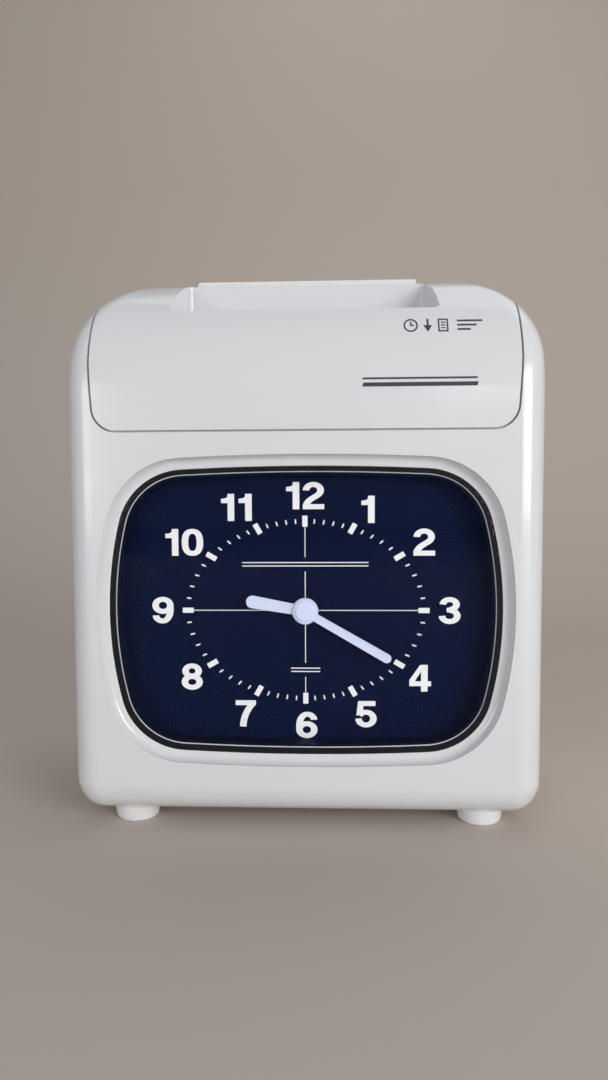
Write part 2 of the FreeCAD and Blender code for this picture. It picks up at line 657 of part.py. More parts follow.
def make_inner_screws():
    """Screws of the dial carrier, the main board and the chassis."""
    screws = []
    back = "dial_depth + dial_wall + carrier_wall"
    for i, (x, z) in enumerate(CARRIER_POSTS):
        screws.append(screw(f"carrier_screw{i}", "y", (x, z), ("2.6", back, f"{back} + 1.8"),
                            ("1.2", f"{back} - 6", back)))
    for i, (x, z) in enumerate(BOARD_POSTS):
        screws.append(screw(f"board_screw{i}", "y", (x, z),
                            ("2.8", "split_depth + 2", "split_depth + 4"),
                            ("1.2", "split_depth + 4", "split_depth + 12")))
    top = "chassis_base + chassis_wall"
    for i, (x, depth) in enumerate(CHASSIS_POSTS):
        screws.append(screw(f"chassis_screw{i}", "z", (x, depth), ("3", top, f"{top} + 2.2"),
                            ("1.4", f"{top} - 7", top)))
    group("inner_screws", screws)


# ---------------------------------------------------------------- window and dial

def make_window():
    raw = window_prism("lens_block", "0", "lens_front", "lens_back")
    keep("lens", fillet("lens", raw, "lens_round",
                        lambda edge, faces: edge.BoundBox.YMax < value(deep("lens_front + 0.1"))))
    keep("lens_gasket", cut("lens_gasket",
                            window_prism("gasket_outside", "0", "lens_back", "gasket_back"),
                            window_prism("gasket_inside", "-gasket_width", "lens_back - 1",
                                         "gasket_back + 1")))
    keep("dial_surround", cut("dial_surround",
                              window_prism("surround_outside", "-2.7", "gasket_back",
                                           "dial_depth - 0.1"),
                              window_prism("surround_inside", "-3.7", "gasket_back - 1",
                                           "dial_depth")))
    slab("dial_plate", "XZ", "dial_depth", "dial_wall",
         lambda s: window_outline(s, "-1.6"),
         lambda s: circle(s, "0", "hub_height", "pipe_radius + 0.5"))

    def posts(drawing):
        for x, z in CARRIER_POSTS:
            circle(drawing, x, z, "1.5")
        return drawing

    slab("dial_carrier", "XZ", "dial_depth + dial_wall", "carrier_wall",
         lambda s: rectangle(s, ("-97", "97"), ("44", "152"), "6"),
         lambda s: circle(s, "0", "hub_height", "pipe_radius + 0.5"), posts)


# ---------------------------------------------------------------- gears

def gear_outline(teeth, module, phase, axis_point, level):
    """Points of a spur gear about an axis along Y; phase turns one tooth away from +Z."""
    pitch = teeth * module / 2
    tip, root = pitch + 0.8 * module, pitch - 1.05 * module
    base = pitch * math.cos(math.radians(20))
    thickness = math.pi / teeth * 0.86

    def half_angle(radius):
        """Half the tooth's angle at a radius, on an involute above the base circle."""
        def involute(r):
            slant = math.acos(min(1.0, base / max(r, base)))
            return math.tan(slant) - slant
        return thickness / 2 + involute(pitch) - involute(radius)

    radii = [root, (root + pitch) / 2, pitch, (pitch + tip) / 2, tip]
    points = []
    for tooth in range(teeth):
        centre = phase + 2 * math.pi * tooth / teeth
        flank = [(r, half_angle(r)) for r in radii]
        for radius, angle in [(r, centre - a) for r, a in flank] + \
                [(r, centre + a) for r, a in reversed(flank)]:
            points.append(Vector(axis_point.x + radius * math.sin(angle), level,
                                 axis_point.z + radius * math.cos(angle)))
    return points


def gear(name, teeth, module, phase, centre, span, bore):
    """A spur gear about an axis along Y, as a plain shape."""
    axis_point = Vector(value(centre[0]), 0, value(centre[1]))
    front, back = value(deep(span[0])), value(deep(span[1]))
    points = gear_outline(teeth, module, phase, axis_point, front)
    face = Part.Face(Part.makePolygon(points + points[:1]))
    solid = face.extrude(Vector(0, back - front, 0))
    if bore:
        hole = Part.makeCylinder(value(bore), back - front,
                                 Vector(axis_point.x, front, axis_point.z), Vector(0, 1, 0))
        solid = solid.cut(hole)
    feature = doc.addObject("Part::Feature", name)
    feature.Shape = solid
    return feature


# angles measured from +Z towards +X, as the hands turn
DOWN, RIGHT, LEFT, UP = math.pi, math.pi / 2, -math.pi / 2, 0.0
MOTION_AXIS = ("0", "hub_height - motion_drop")
REDUCTION_AXIS = ("reduction_reach", "hub_height")
ROTOR_AXIS = ("reduction_reach", "hub_height - rotor_drop")
HUB_AXIS = ("0", "hub_height")
CANNON_TEETH, MOTION_TEETH, MOTION_PINION, HOUR_TEETH = 12, 36, 12, 48
ROTOR_PINION, REDUCTION_TEETH, REDUCTION_PINION, CENTRE_TEETH = 12, 60, 12, 72


def gap_towards(direction, teeth):
    """The phase that turns a gap between two teeth towards a direction."""
    return direction + math.pi / teeth


def make_train():
    motion_module = 2 * value("motion_drop") / (CANNON_TEETH + MOTION_TEETH)
    hour_module = 2 * value("motion_drop") / (MOTION_PINION + HOUR_TEETH)
    centre_module = 2 * value("reduction_reach") / (REDUCTION_PINION + CENTRE_TEETH)
    rotor_module = 2 * value("rotor_drop") / (ROTOR_PINION + REDUCTION_TEETH)

    cannon = gear("cannon_pinion", CANNON_TEETH, motion_module, DOWN, HUB_AXIS,
                  ("19.4", "21.6"), None)
    centre = gear("centre_gear", CENTRE_TEETH, centre_module, RIGHT, HUB_AXIS,
                  ("22.2", "23.6"), None)
    arbor = rod("minute_arbor_rod", "y", "arbor_radius", ("8.5", "movement_back - 0.2"), HUB_AXIS)
    keep("centre_wheel", fuse("centre_wheel", cannon, centre, arbor))

    motion = gear("motion_gear", MOTION_TEETH, motion_module, gap_towards(UP, MOTION_TEETH),
                  MOTION_AXIS, ("19.9", "21.1"), None)
    motion_pinion = gear("motion_pinion", MOTION_PINION, hour_module, UP, MOTION_AXIS,
                         ("17.2", "20"), None)
    motion_arbor = rod("motion_arbor", "y", "thin_arbor", ("movement_front + 0.2", "21.6"),
                       MOTION_AXIS)
    keep("motion_wheel", fuse("motion_wheel", motion, motion_pinion, motion_arbor))

    hour = gear("hour_gear", HOUR_TEETH, hour_module, gap_towards(DOWN, HOUR_TEETH), HUB_AXIS,
                ("17.4", "19"), None)
    pipe = rod("hour_pipe", "y", "pipe_radius", ("9.9", "18.5"), HUB_AXIS)
    bore = rod("hour_bore", "y", "arbor_radius + play", ("9", "20"), HUB_AXIS)
    keep("hour_wheel", cut("hour_wheel", fuse("hour_wheel_solid", hour, pipe), bore))

    pinion = gear("reduction_pinion", REDUCTION_PINION, centre_module,
                  gap_towards(LEFT, REDUCTION_PINION), REDUCTION_AXIS, ("21.9", "24.8"), None)
    reduction = gear("reduction_gear", REDUCTION_TEETH, rotor_module, DOWN, REDUCTION_AXIS,
                     ("24.6", "25.8"), None)
    reduction_arbor = rod("reduction_arbor", "y", "thin_arbor",
                          ("movement_front + 0.2", "movement_back - 0.2"), REDUCTION_AXIS)
    keep("reduction_wheel", fuse("reduction_wheel", pinion, reduction, reduction_arbor))

    rotor_pinion = gear("rotor_pinion", ROTOR_PINION, rotor_module,
                        gap_towards(UP, ROTOR_PINION), ROTOR_AXIS, ("24.3", "26.4"), None)
    magnet = rod("rotor_magnet", "y", "3.4", ("26.4", "30.4"), ROTOR_AXIS)
    rotor_arbor = rod("rotor_arbor", "y", "thin_arbor",
                      ("movement_front + 0.2", "movement_back - 0.2"), ROTOR_AXIS)
    keep("motor_rotor", fuse("motor_rotor", rotor_pinion, magnet, rotor_arbor))


def make_movement():
    case_x, case_z = ("-26", "50"), ("64", "124")
    outside = block("case_outside", case_x, ("movement_front", "movement_back - 1.4"), case_z)
    inside = block("case_inside", ("-24.4", "48.4"), ("movement_front + 1.4", "movement_back"),
                   ("65.6", "122.4"))
    bores = [rod("case_pipe_bore", "y", "pipe_radius + play", ("movement_front", "18"), HUB_AXIS)]
    for name, axis_point in (("motion", MOTION_AXIS), ("reduction", REDUCTION_AXIS),
                             ("rotor", ROTOR_AXIS)):
        bores.append(rod(f"case_{name}_bore", "y", "thin_arbor + play",
                         ("movement_front", "18"), axis_point))
    keep("movement_case", cut("movement_case", outside, inside, *bores))

    def bearings(drawing):
        circle(drawing, *HUB_AXIS, "arbor_radius + play")
        circle(drawing, *REDUCTION_AXIS, "thin_arbor + play")
        return circle(drawing, *ROTOR_AXIS, "thin_arbor + play")

    slab("movement_cover", "XZ", "movement_back - 1.4", "1.4",
         lambda s: rectangle(s, case_x, case_z), bearings)

    plate = block("stator_plate", ("8", "42"), ("27.7", "29.3"), ("77", "91"))
    eye = rod("stator_eye", "y", "4.1", ("27", "30"), ROTOR_AXIS)
    core = rod("stator_core", "z", "1.4", ("84", "115"), ("38", "28.5"))
    keep("motor_stator", fuse("motor_stator", cut("stator_sheet", plate, eye), core))
    keep("drive_coil", cut("drive_coil", rod("winding", "z", "3.9", ("93", "112"), ("38", "28.5")),
                           rod("winding_core", "z", "1.4", ("92", "113"), ("38", "28.5"))))


# ---------------------------------------------------------------- hands

HOUR_ANGLE, MINUTE_ANGLE = 280.0, 120.0


def hand(label, angle, reach, widths, hub_radius, bore, span):
    """A tapered hand with round ends, drawn pointing up and turned clockwise by its angle."""
    low, high = widths
    blade_outline = outline(
        sketch(label + "_outline", "XZ", span[0]),
        [(f"-{low} / 2", "0"), (f"{low} / 2", "0"), (f"{high} / 2", f"{reach} - {high} / 2"),
         (f"-{high} / 2", f"{reach} - {high} / 2")])
    thickness = f"({span[1]}) - ({span[0]})"
    blade = prism(label + "_blade", blade_outline, thickness)
    tip = rod(label + "_tip", "y", f"{high} / 2", span, ("0", f"{reach} - {high} / 2"))
    hub = rod(label + "_hub", "y", hub_radius, (f"({span[0]}) - 0.2", f"({span[1]}) + 0.2"),
              ("0", "0"))
    hole = rod(label + "_hole", "y", bore, (f"({span[0]}) - 1", f"({span[1]}) + 1"), ("0", "0"))
    piece = keep(label, cut(label, fuse(label + "_solid", blade, tip, hub), hole))
    return at(piece, "0", "0", "hub_height", Rotation(Vector(0, 1, 0), angle))


def make_hands():
    hand("hour_hand", HOUR_ANGLE, "hour_reach", ("4.4", "5.6"), "5.8", "pipe_radius",
         ("10.1", "11.0"))
    hand("minute_hand", MINUTE_ANGLE, "minute_reach", ("3.4", "4"), "5", "arbor_radius",
         ("8.7", "9.5"))
    cap = rod("cap_disc", "y", "4.2", ("7.9", "8.5"), HUB_AXIS)
    keep("hand_cap", fillet("hand_cap", cap, "0.45",
                            lambda edge, faces: edge.BoundBox.YMax < value(deep("8"))))


# ---------------------------------------------------------------- chassis and card chute

FEED_MOTOR_DEPTH = "feed_depth + 20.8"


def make_chassis():
    base_top = "chassis_base + chassis_wall"
    base = block("chassis_floor", ("-(chassis_half + chassis_wall)", "chassis_half + chassis_wall"),
                 ("30", "chassis_back"), ("chassis_base", base_top))
    sides, cuts, tabs = [], [], []
    for side, sign in (("left", -1), ("right", 1)):
        near, far = sorted((f"{sign} * chassis_half", f"{sign} * (chassis_half + chassis_wall)"),
                           key=value)
        sides.append(block(f"chassis_side_{side}", (near, far), ("chassis_front", "chassis_back"),
                           ("chassis_base", "chassis_top")))
        span = (f"({near}) - 1", f"({far}) + 1")
        cuts.append(block(f"chassis_window_{side}", span, ("30", "86"), ("50", "150")))
        cuts.append(block(f"chassis_step_{side}", span, ("chassis_front - 1", "31"),
                          ("cassette_high + 1", "chassis_top + 1")))
        cuts.append(rod(f"rod_hole_{side}", "x", "rod_radius", span, ("rod_depth", "rod_height")))
        cuts.append(rod(f"rail_hole_{side}", "x", "rail_radius", span,
                        ("rail_depth", "rail_height")))
        cuts.append(rod(f"feed_hole_{side}", "x", "5", span, ("feed_depth", "feed_height")))
        low, high = sorted((f"{sign} * (chassis_half - 5)", f"{sign} * chassis_half"), key=value)
        tabs.append(block(f"cassette_tab_{side}", (low, high), ("chassis_front", "21"),
                          ("cassette_low - 2", "cassette_low")))
    cuts.append(rod("feed_motor_hole", "x", "5", ("chassis_half - 1", "chassis_half + 3"),
                    (FEED_MOTOR_DEPTH, "feed_height")))
    for i, (x, depth) in enumerate(CHASSIS_POSTS):
        cuts.append(rod(f"chassis_hole{i}", "z", "1.7", ("chassis_base - 1", f"{base_top} + 1"),
                        (x, depth)))
    keep("main_chassis", cut("main_chassis", fuse("chassis_solid", base, *sides, *tabs), *cuts))


def roller_windows(drawing, half_height):
    for low, high in (("-(roller_outer + 1)", "-(roller_inner - 1)"),
                      ("roller_inner - 1", "roller_outer + 1")):
        rectangle(drawing, (low, high),
                  (f"feed_height - {half_height}", f"feed_height + {half_height}"))
    return drawing


def make_chute():
    base_top = "chassis_base + chassis_wall"
    guide = body("card_guide_front")
    pad(guide, rectangle(sketch("guide_outline", "XZ", "card_front - guide_wall", guide),
                         ("-guide_half", "guide_half"), (base_top, "chute_top")), "guide_wall")
    ears = sketch("ear_outlines", "XZ", "pinch_depth - 3", guide)
    for near, far in (("-44", "-40"), ("40", "44")):
        rectangle(ears, (near, far), ("feed_height - 5", "feed_height + 5"))
    pad(guide, ears, "card_front - guide_wall - pinch_depth + 3")
    windows = roller_windows(sketch("pinch_windows", "XZ", "card_front - guide_wall", guide),
                             "(pinch_radius + 0.6)")
    rectangle(windows, ("-46", "46"), ("199.5", "212.5"))
    pocket(guide, windows, "guide_wall")
    shaft_bore = sketch("pinch_shaft_bore", "YZ", "-45", guide)
    circle(shaft_bore, "pinch_depth", "feed_height", "pinch_shaft_radius + play")
    pocket(guide, shaft_bore, "90")
    plate = body("card_guide_rear")
    across = ("-ledge_half", "ledge_half")
    pad(plate, rectangle(sketch("plate_outline", "XZ", "card_back", plate), across,
                         (base_top, "chute_top")), "ledge_wall")
    # the plate steps back behind the scoop's own back wall, and its top edge is the ledge
    pad(plate, rectangle(sketch("step_outline", "XZ", "card_back", plate), across,
                         ("chute_top - 4", "chute_top")), "ledge_front + ledge_wall - card_back")
    pad(plate, rectangle(sketch("ledge_outline", "XZ", "ledge_front", plate), across,
                         ("chute_top - 4", "ledge_height"), "1"), "ledge_wall")
    ribs = sketch("rib_outline", "XZ", "card_front", plate)
    outline(ribs, [("-guide_half", base_top), ("guide_half", base_top),
                   ("guide_half", "chute_top"), ("throat_half", "chute_top"),
                   ("throat_half", f"{base_top} + 3"), ("-throat_half", f"{base_top} + 3"),
                   ("-throat_half", "chute_top"), ("-guide_half", "chute_top")])
    pad(plate, ribs, "card_back - card_front")
    windows = roller_windows(sketch("feed_windows", "XZ", "card_back", plate), "8.5")
    rectangle(windows, ("-46", "46"), ("200", "212"))
    pocket(plate, windows, "ledge_wall")
    keep("platen", block("platen", ("-44", "44"), ("card_back - 0.2", "card_back + 7"),
                         ("200.5", "211.5")))


# ---------------------------------------------------------------- card feed

FEED_GEAR_TEETH, FEED_PINION_TEETH, FEED_MODULE = 40, 12, 0.8


def lay_along_x(thing, x, depth, z):
    """Puts a gear that was drawn about the Y axis onto an axis along X."""
    thing.Placement = Placement(Vector(value(x), value(deep(depth)), value(z)),
                                Rotation(Vector(0, 0, 1), -90))
    return thing


def plain_gear(name, teeth, module, phase, width):
    """A spur gear about the Y axis at the origin, to be laid along X."""
    points = gear_outline(teeth, module, phase, Vector(), 0.0)
    feature = doc.addObject("Part::Feature", name)
    feature.Shape = Part.Face(Part.makePolygon(points + points[:1])).extrude(Vector(0, width, 0))
    return feature


def make_feed():
    feed_axis = ("feed_depth", "feed_height")
    pinch_axis = ("pinch_depth", "feed_height")
    width = 5.0
    # laid along X, a phase of zero points a tooth up and +90 degrees points it to the front
    wheel = lay_along_x(plain_gear("feed_gear_teeth", FEED_GEAR_TEETH, FEED_MODULE,
                                   math.radians(-90), width),
                        "chassis_half + 4", "feed_depth", "feed_height")
    shaft = rod("feed_shaft", "x", "feed_shaft_radius",
                ("-(chassis_half + chassis_wall + 2)", "chassis_half + 9"), feed_axis)
    keep("feed_shaft", shaft)
    keep("feed_gear", cut("feed_gear", wheel,
                          rod("feed_gear_bore", "x", "feed_shaft_radius",
                              ("chassis_half + 3", "chassis_half + 10"), feed_axis)))
    rollers, pinch_rollers, bushes = [], [], []
    for side, sign in (("left", -1), ("right", 1)):
        near, far = sorted((f"{sign} * roller_inner", f"{sign} * roller_outer"), key=value)
        rollers.append(cut(f"feed_roller_{side}",
                           rod(f"feed_tyre_{side}", "x", "feed_radius", (near, far), feed_axis),
                           rod(f"feed_tyre_bore_{side}", "x", "feed_shaft_radius", (near, far),
                               feed_axis)))
        pinch_rollers.append(cut(f"pinch_roller_{side}",
                                 rod(f"pinch_tyre_{side}", "x", "pinch_radius", (near, far),
                                     pinch_axis),
                                 rod(f"pinch_tyre_bore_{side}", "x", "pinch_shaft_radius",
                                     (near, far), pinch_axis)))
        near, far = sorted((f"{sign} * (chassis_half - 1.5)",
                            f"{sign} * (chassis_half + chassis_wall)"), key=value)
        flange = sorted((f"{sign} * (chassis_half - 1.5)", f"{sign} * chassis_half"), key=value)
        bushes.append(cut(f"bush_{side}",
                          fuse(f"bush_solid_{side}",
                               rod(f"bush_sleeve_{side}", "x", "5", (near, far), feed_axis),
                               rod(f"bush_flange_{side}", "x", "7", flange, feed_axis)),
                          rod(f"bush_bore_{side}", "x", "feed_shaft_radius + play", (near, far),
                              feed_axis)))
    group("feed_rollers", rollers)
    group("shaft_bushes", bushes)
    pinch_rollers.append(rod("pinch_shaft", "x", "pinch_shaft_radius", ("-45.5", "45.5"),
                             pinch_axis))
    group("pinch_rollers", pinch_rollers)

    motor_axis = (FEED_MOTOR_DEPTH, "feed_height")
    pinion = lay_along_x(plain_gear("feed_pinion_teeth", FEED_PINION_TEETH, FEED_MODULE,
                                    math.radians(90) + math.pi / FEED_PINION_TEETH, width),
                         "chassis_half + 4", FEED_MOTOR_DEPTH, "feed_height")
    keep("feed_pinion", fuse("feed_pinion", pinion,
                             rod("feed_motor_shaft", "x", "1.2",
                                 ("chassis_half - 10", "chassis_half + 9.5"), motor_axis)))
    can = rod("feed_motor_can", "x", "13", ("chassis_half - 36", "chassis_half"), motor_axis)
    nose = rod("feed_motor_boss", "x", "5", ("chassis_half - 1", "chassis_half + chassis_wall"),
               motor_axis)
    keep("feed_motor", cut("feed_motor", fuse("feed_motor_solid", can, nose),
                           rod("feed_motor_bore", "x", "1.25",
                               ("chassis_half - 11", "chassis_half + 2"), motor_axis)))


# ---------------------------------------------------------------- printer

KNOB_X, KNOB_DEPTH = "40", "16.5"


def make_printer():
    pulley_spots = (("-pulley_reach", "pulley_depth"), ("pulley_reach", "pulley_depth"))
    shelf = block("printer_shelf", ("-chassis_half", "chassis_half"), ("chassis_front", "30.5"),
                  ("frame_low", "frame_low + 1.5"))
    post = rod("idler_post", "z", "1.5", ("frame_low", "belt_high + 1"), pulley_spots[1])
    keep("printer_frame", cut("printer_frame", fuse("printer_frame_solid", shelf, post),
                              rod("drive_shaft_hole", "z", "3", ("frame_low - 1", "belt_low"),
                                  pulley_spots[0])))
    group("guide_rods", [
        rod("carriage_rod", "x", "rod_radius",
            ("-(chassis_half + chassis_wall)", "chassis_half + chassis_wall"),
            ("rod_depth", "rod_height")),
        rod("carriage_rail", "x", "rail_radius",
            ("-(chassis_half + chassis_wall)", "chassis_half + chassis_wall"),
            ("rail_depth", "rail_height"))])

    saddle = block("carriage_saddle", ("-14", "14"), ("15", "32.5"), ("186.5", "199"))
    clamp = block("carriage_clamp", ("-5", "5"), ("18.6", "22.4"), ("180", "187"))
    belt_slot = block("carriage_slot", ("-6", "6"),
                      ("pulley_depth - pulley_radius - belt_wall - 0.1",
                       "pulley_depth - pulley_radius + 0.1"), ("belt_low - 0.1", "belt_high + 0.1"))
    keep("print_carriage", cut("print_carriage", fuse("carriage_solid", saddle, clamp), belt_slot,
                               rod("carriage_rod_bore", "x", "rod_radius + play", ("-15", "15"),
                                   ("rod_depth", "rod_height")),
                               rod("carriage_rail_bore", "x", "rail_radius + play", ("-15", "15"),
                                   ("rail_depth", "rail_height"))))
    head = block("head_block", ("-7", "7"), ("23.6", "30"), ("199", "211"))
    nose = block("head_nose", ("-3", "3"), ("29", "34.1"), ("201", "211"))
    fins = [block(f"head_fin{i}", ("-7.8", "7.8"), ("24", "29.4"),
                  (f"201 + {i} * 2.4", f"202 + {i} * 2.4")) for i in range(4)]
    keep("print_head", fuse("print_head", head, nose, *fins))

    drive_stack = [rod("drive_barrel", "z", "pulley_radius", ("belt_low - 0.5", "belt_high + 0.5"),
                       pulley_spots[0]),
                   rod("drive_shaft", "z", "1.2", ("frame_low - 12", "belt_high + 1.5"),
                       pulley_spots[0])]
    idler_stack = [rod("idler_barrel", "z", "pulley_radius", ("belt_low - 0.5", "belt_high + 0.5"),
                       pulley_spots[1])]
    for stack, spot, name in ((drive_stack, pulley_spots[0], "drive"),
                              (idler_stack, pulley_spots[1], "idler")):
        for i, low in enumerate(("belt_low - 1.3", "belt_high + 0.3")):
            stack.append(rod(f"{name}_flange{i}", "z", "pulley_radius + 1.2", (low, f"{low} + 1"),
                             spot))
    keep("drive_pulley", fuse("drive_pulley", *drive_stack))
    keep("idler_pulley", cut("idler_pulley", fuse("idler_solid", *idler_stack),
                             rod("idler_bore", "z", "1.5 + play", ("belt_low - 3", "belt_high + 3"),
                                 pulley_spots[1])))
    outside, inside = "pulley_radius + belt_wall", "pulley_radius + 0.05"

    def loop(drawing, radius):
        return rectangle(drawing, (f"-(pulley_reach + {radius})", f"pulley_reach + {radius}"),
                         (f"pulley_depth - ({radius})", f"pulley_depth + {radius}"),
                         f"({radius}) * 0.9999")

    slab("carriage_belt", "XY", "belt_low", "belt_high - belt_low",
         lambda s: loop(s, outside), lambda s: loop(s, inside))
    can = rod("carriage_motor_can", "z", "9", ("frame_low - 26", "frame_low"), pulley_spots[0])
    keep("carriage_motor", cut("carriage_motor", can,
                               rod("carriage_motor_bore", "z", "1.25",
                                   ("frame_low - 13", "frame_low"), pulley_spots[0])))


def make_ribbon():
    low, high = "cassette_low", "cassette_high"
    tray = block("tray_outside", ("-(chassis_half - 0.5)", "chassis_half - 0.5"), ("10.5", "22.5"),
                 (low, f"{high} - 1"))
    hollow = block("tray_inside", ("-(chassis_half - 1.5)", "chassis_half - 1.5"),
                   ("11.5", "21.5"), (f"{low} + 1", high))
    arms = [block(f"arm{i}", x, ("22", "34.5"), (low, f"{high} - 1"))
            for i, x in enumerate((("-58", "-50"), ("50", "58")))]
    lid = block("cassette_lid", ("-(chassis_half - 0.5)", "chassis_half - 0.5"),
                ("10.5", "22.5"), (f"{high} - 1", high))
    shell = cut("cassette_tray", fuse("tray_solid", tray, *arms), hollow,
                rod("spool_pivot", "z", "1.25", (f"{low} - 1", f"{low} + 2"),
                    (KNOB_X, KNOB_DEPTH)))
    keep("ribbon_cassette", cut("ribbon_cassette", fuse("cassette_shell", shell, lid),
                                rod("stem_hole", "z", "2 + play", (f"{high} - 2", f"{high} + 1"),
                                    (KNOB_X, KNOB_DEPTH))))
    keep("ink_ribbon", block("ink_ribbon", ("-58", "58"), ("34.5", "34.8"),
                             (f"{low} + 1", f"{high} - 2")))
    spool = [rod("spool_core", "z", "4.4", (f"{low} + 1.2", f"{high} - 1.3"),
                 (KNOB_X, KNOB_DEPTH)),
             rod("spool_pin", "z", "1.2", (low, f"{low} + 2"), (KNOB_X, KNOB_DEPTH)),
             rod("spool_stem", "z", "2", (f"{high} - 2", f"{high} + 1"), (KNOB_X, KNOB_DEPTH)),
             rod("knob_disc", "z", "5.5", (f"{high} + 0.3", f"{high} + 3.9"),
                 (KNOB_X, KNOB_DEPTH))]
    grip = block("knob_grip_cut", (f"{KNOB_X} - 1", f"{KNOB_X} + 1"),
                 (f"{KNOB_DEPTH} - 4", f"{KNOB_DEPTH} + 4"), (f"{high} + 2.6", f"{high} + 5"))
    keep("ribbon_knob", cut("ribbon_knob", fuse("knob_solid", *spool), grip))


# ---------------------------------------------------------------- settings panel

BUTTON_XS = ("14", "28", "42", "56")
BUTTON_DEPTH = "67"
LCD_X, LCD_DEPTH = ("-60", "-2"), ("57", "77")


def make_panel():
    top = "chassis_top"
    panel = body("settings_panel")
    pad(panel, rectangle(sketch("panel_outline", "XY", top, panel),
                         ("-(chassis_half + 1.5)", "chassis_half + 1.5"), ("50", "84"), "3"), "2")
    openings = sketch("panel_openings", "XY", top, panel)
    rectangle(openings, (f"{LCD_X[0]} + 3", f"{LCD_X[1]} - 3"),
              (f"{LCD_DEPTH[0]} + 3", f"{LCD_DEPTH[1]} - 3"), "1")
    for x in BUTTON_XS:
        circle(openings, x, BUTTON_DEPTH, "4.1")
    pocket(panel, openings, "2")
    legs = sketch("panel_legs", "XY", f"{top} - 6.4", panel)
    for x in ("-70", "70"):
        for depth in ("54", "80"):
            circle(legs, x, depth, "2.5")
    pad(panel, legs, "6.4")
    board = block("settings_sheet", ("-73", "73"), ("52", "82"), (f"{top} - 8", f"{top} - 6.4"))
    switches = [block(f"switch{i}", (f"{x} - 3", f"{x} + 3"),
                      (f"{BUTTON_DEPTH} - 3", f"{BUTTON_DEPTH} + 3"),
                      (f"{top} - 6.4", f"{top} - 5.6")) for i, x in enumerate(BUTTON_XS)]
    keep("settings_board", fuse("settings_board", board, *switches))
    keep("lcd_module", block("lcd_module", LCD_X, LCD_DEPTH, (f"{top} - 6.4", f"{top} - 0.1")))
    for number, x in enumerate(BUTTON_XS, 1):
        stem = rod(f"button_stem{number}", "z", "4", (f"{top} - 3.8", f"{top} + 5"),
                   (x, BUTTON_DEPTH))
        rounded = fillet(f"button_round{number}", stem, "0.8",
                         lambda edge, faces: edge.BoundBox.ZMin > value(f"{top} + 4.9"))
        rim = rod(f"button_rim{number}", "z", "5.2", (f"{top} - 3.8", f"{top} - 2.2"),
                  (x, BUTTON_DEPTH))
        keep(f"set_button_{number}", fuse(f"set_button_{number}", rounded, rim))


# ---------------------------------------------------------------- electronics

def make_electronics():
    slab("main_board", "XZ", "split_depth + 4", "1.6",
         lambda s: rectangle(s, ("-68", "68"), ("40", "150"), "2"),
         lambda s: [circle(s, x, z, "1.6") for x, z in BOARD_POSTS][-1])
    face = "split_depth + 4"
    buzzer = cut("buzzer", rod("buzzer_can", "y", "7", (f"{face} - 8", face), ("52", "122")),
                 rod("buzzer_mouth", "y", "1.2", (f"{face} - 9", f"{face} - 5"), ("52", "122")))
    group("board_components", [
        block("processor", ("-14", "14"), (f"{face} - 2.6", face), ("92", "106")),
        block("memory_chip", ("-40", "-26"), (f"{face} - 2.2", face), ("90", "98")),
        block("driver_chip", ("24", "44"), (f"{face} - 2.2", face), ("92", "100")),
        rod("supply_capacitor", "y", "6", (f"{face} - 18", face), ("-44", "62")),
        rod("filter_capacitor", "y", "4", (f"{face} - 12", face), ("-28", "62")),
        rod("backup_battery", "x", "6.5", ("6", "36"), (f"{face} - 6.5", "62")),
        buzzer])
    low = "chassis_base + chassis_wall"
    limbs = [block("core_yoke_low", ("-66", "-22"), ("62", "84"), (low, f"{low} + 6")),
             block("core_yoke_high", ("-66", "-22"), ("62", "84"), (f"{low} + 30", f"{low} + 36"))]
    for i, (x, width) in enumerate((("-66", "6"), ("-50", "12"), ("-28", "6"))):
        limbs.append(block(f"core_limb{i}", (x, f"{x} + {width}"), ("62", "84"),
                           (low, f"{low} + 36")))
    winding = block("winding_outside", ("-59.5", "-28.5"), ("54", "92"),
                    (f"{low} + 6.5", f"{low} + 29.5"))
    coil = cut("transformer_coil", winding, block("winding_eye", ("-50.1", "-37.9"),
                                                  ("61.9", "84.1"), (low, f"{low} + 36")))
    group("transformer", [fuse("transformer_core", *limbs), coil])
    shell = block("inlet_shell", (f"{INLET_X} - 11", f"{INLET_X} + 11"), ("112", "body_depth"),
                  (f"{INLET_Z} - 7", f"{INLET_Z} + 7"))
    socket = block("inlet_socket", (f"{INLET_X} - 8.2", f"{INLET_X} + 8.2"),
                   ("115", "body_depth + 1"), (f"{INLET_Z} - 4.2", f"{INLET_Z} + 4.2"))
    pins = [rod(f"inlet_pin{i}", "y", "1.2", ("114", "body_depth - 4"),
                (f"{INLET_X} + {shift}", INLET_Z)) for i, shift in enumerate(("-4.3", "4.3"))]
    keep("power_inlet", fuse("power_inlet", cut("inlet_body", shell, socket), *pins))


# ---------------------------------------------------------------- key lock

def make_lock():
    axis_point = ("lock_depth", "lock_height")
    end = "body_width / 2"
    barrel = rod("lock_barrel", "x", "6", (f"{end} - 13", end), axis_point)
    keyway = block("lock_keyway", (f"{end} - 6", f"{end} + 1"), ("lock_depth - 0.7",
                                                               "lock_depth + 0.7"),
                   ("lock_height - 3.4", "lock_height + 3.4"))
    keep("lock_cylinder", cut("lock_cylinder", barrel, keyway))
    sleeve = rod("lock_sleeve", "x", "lock_radius", (f"{end} - 12", end), axis_point)
    keep("lock_housing", cut("lock_housing", sleeve,
                             rod("lock_sleeve_bore", "x", "6 + play", (f"{end} - 14", f"{end} + 1"),
                                 axis_point)))
    arm = block("cam_arm", (f"{end} - 15", f"{end} - 13"), ("lock_depth", "lock_depth + 17"),
                ("lock_height - 4", "lock_height + 4"))
    keep("lock_cam", fuse("lock_cam", arm,
                          rod("cam_disc", "x", "6", (f"{end} - 15", f"{end} - 13"), axis_point)))


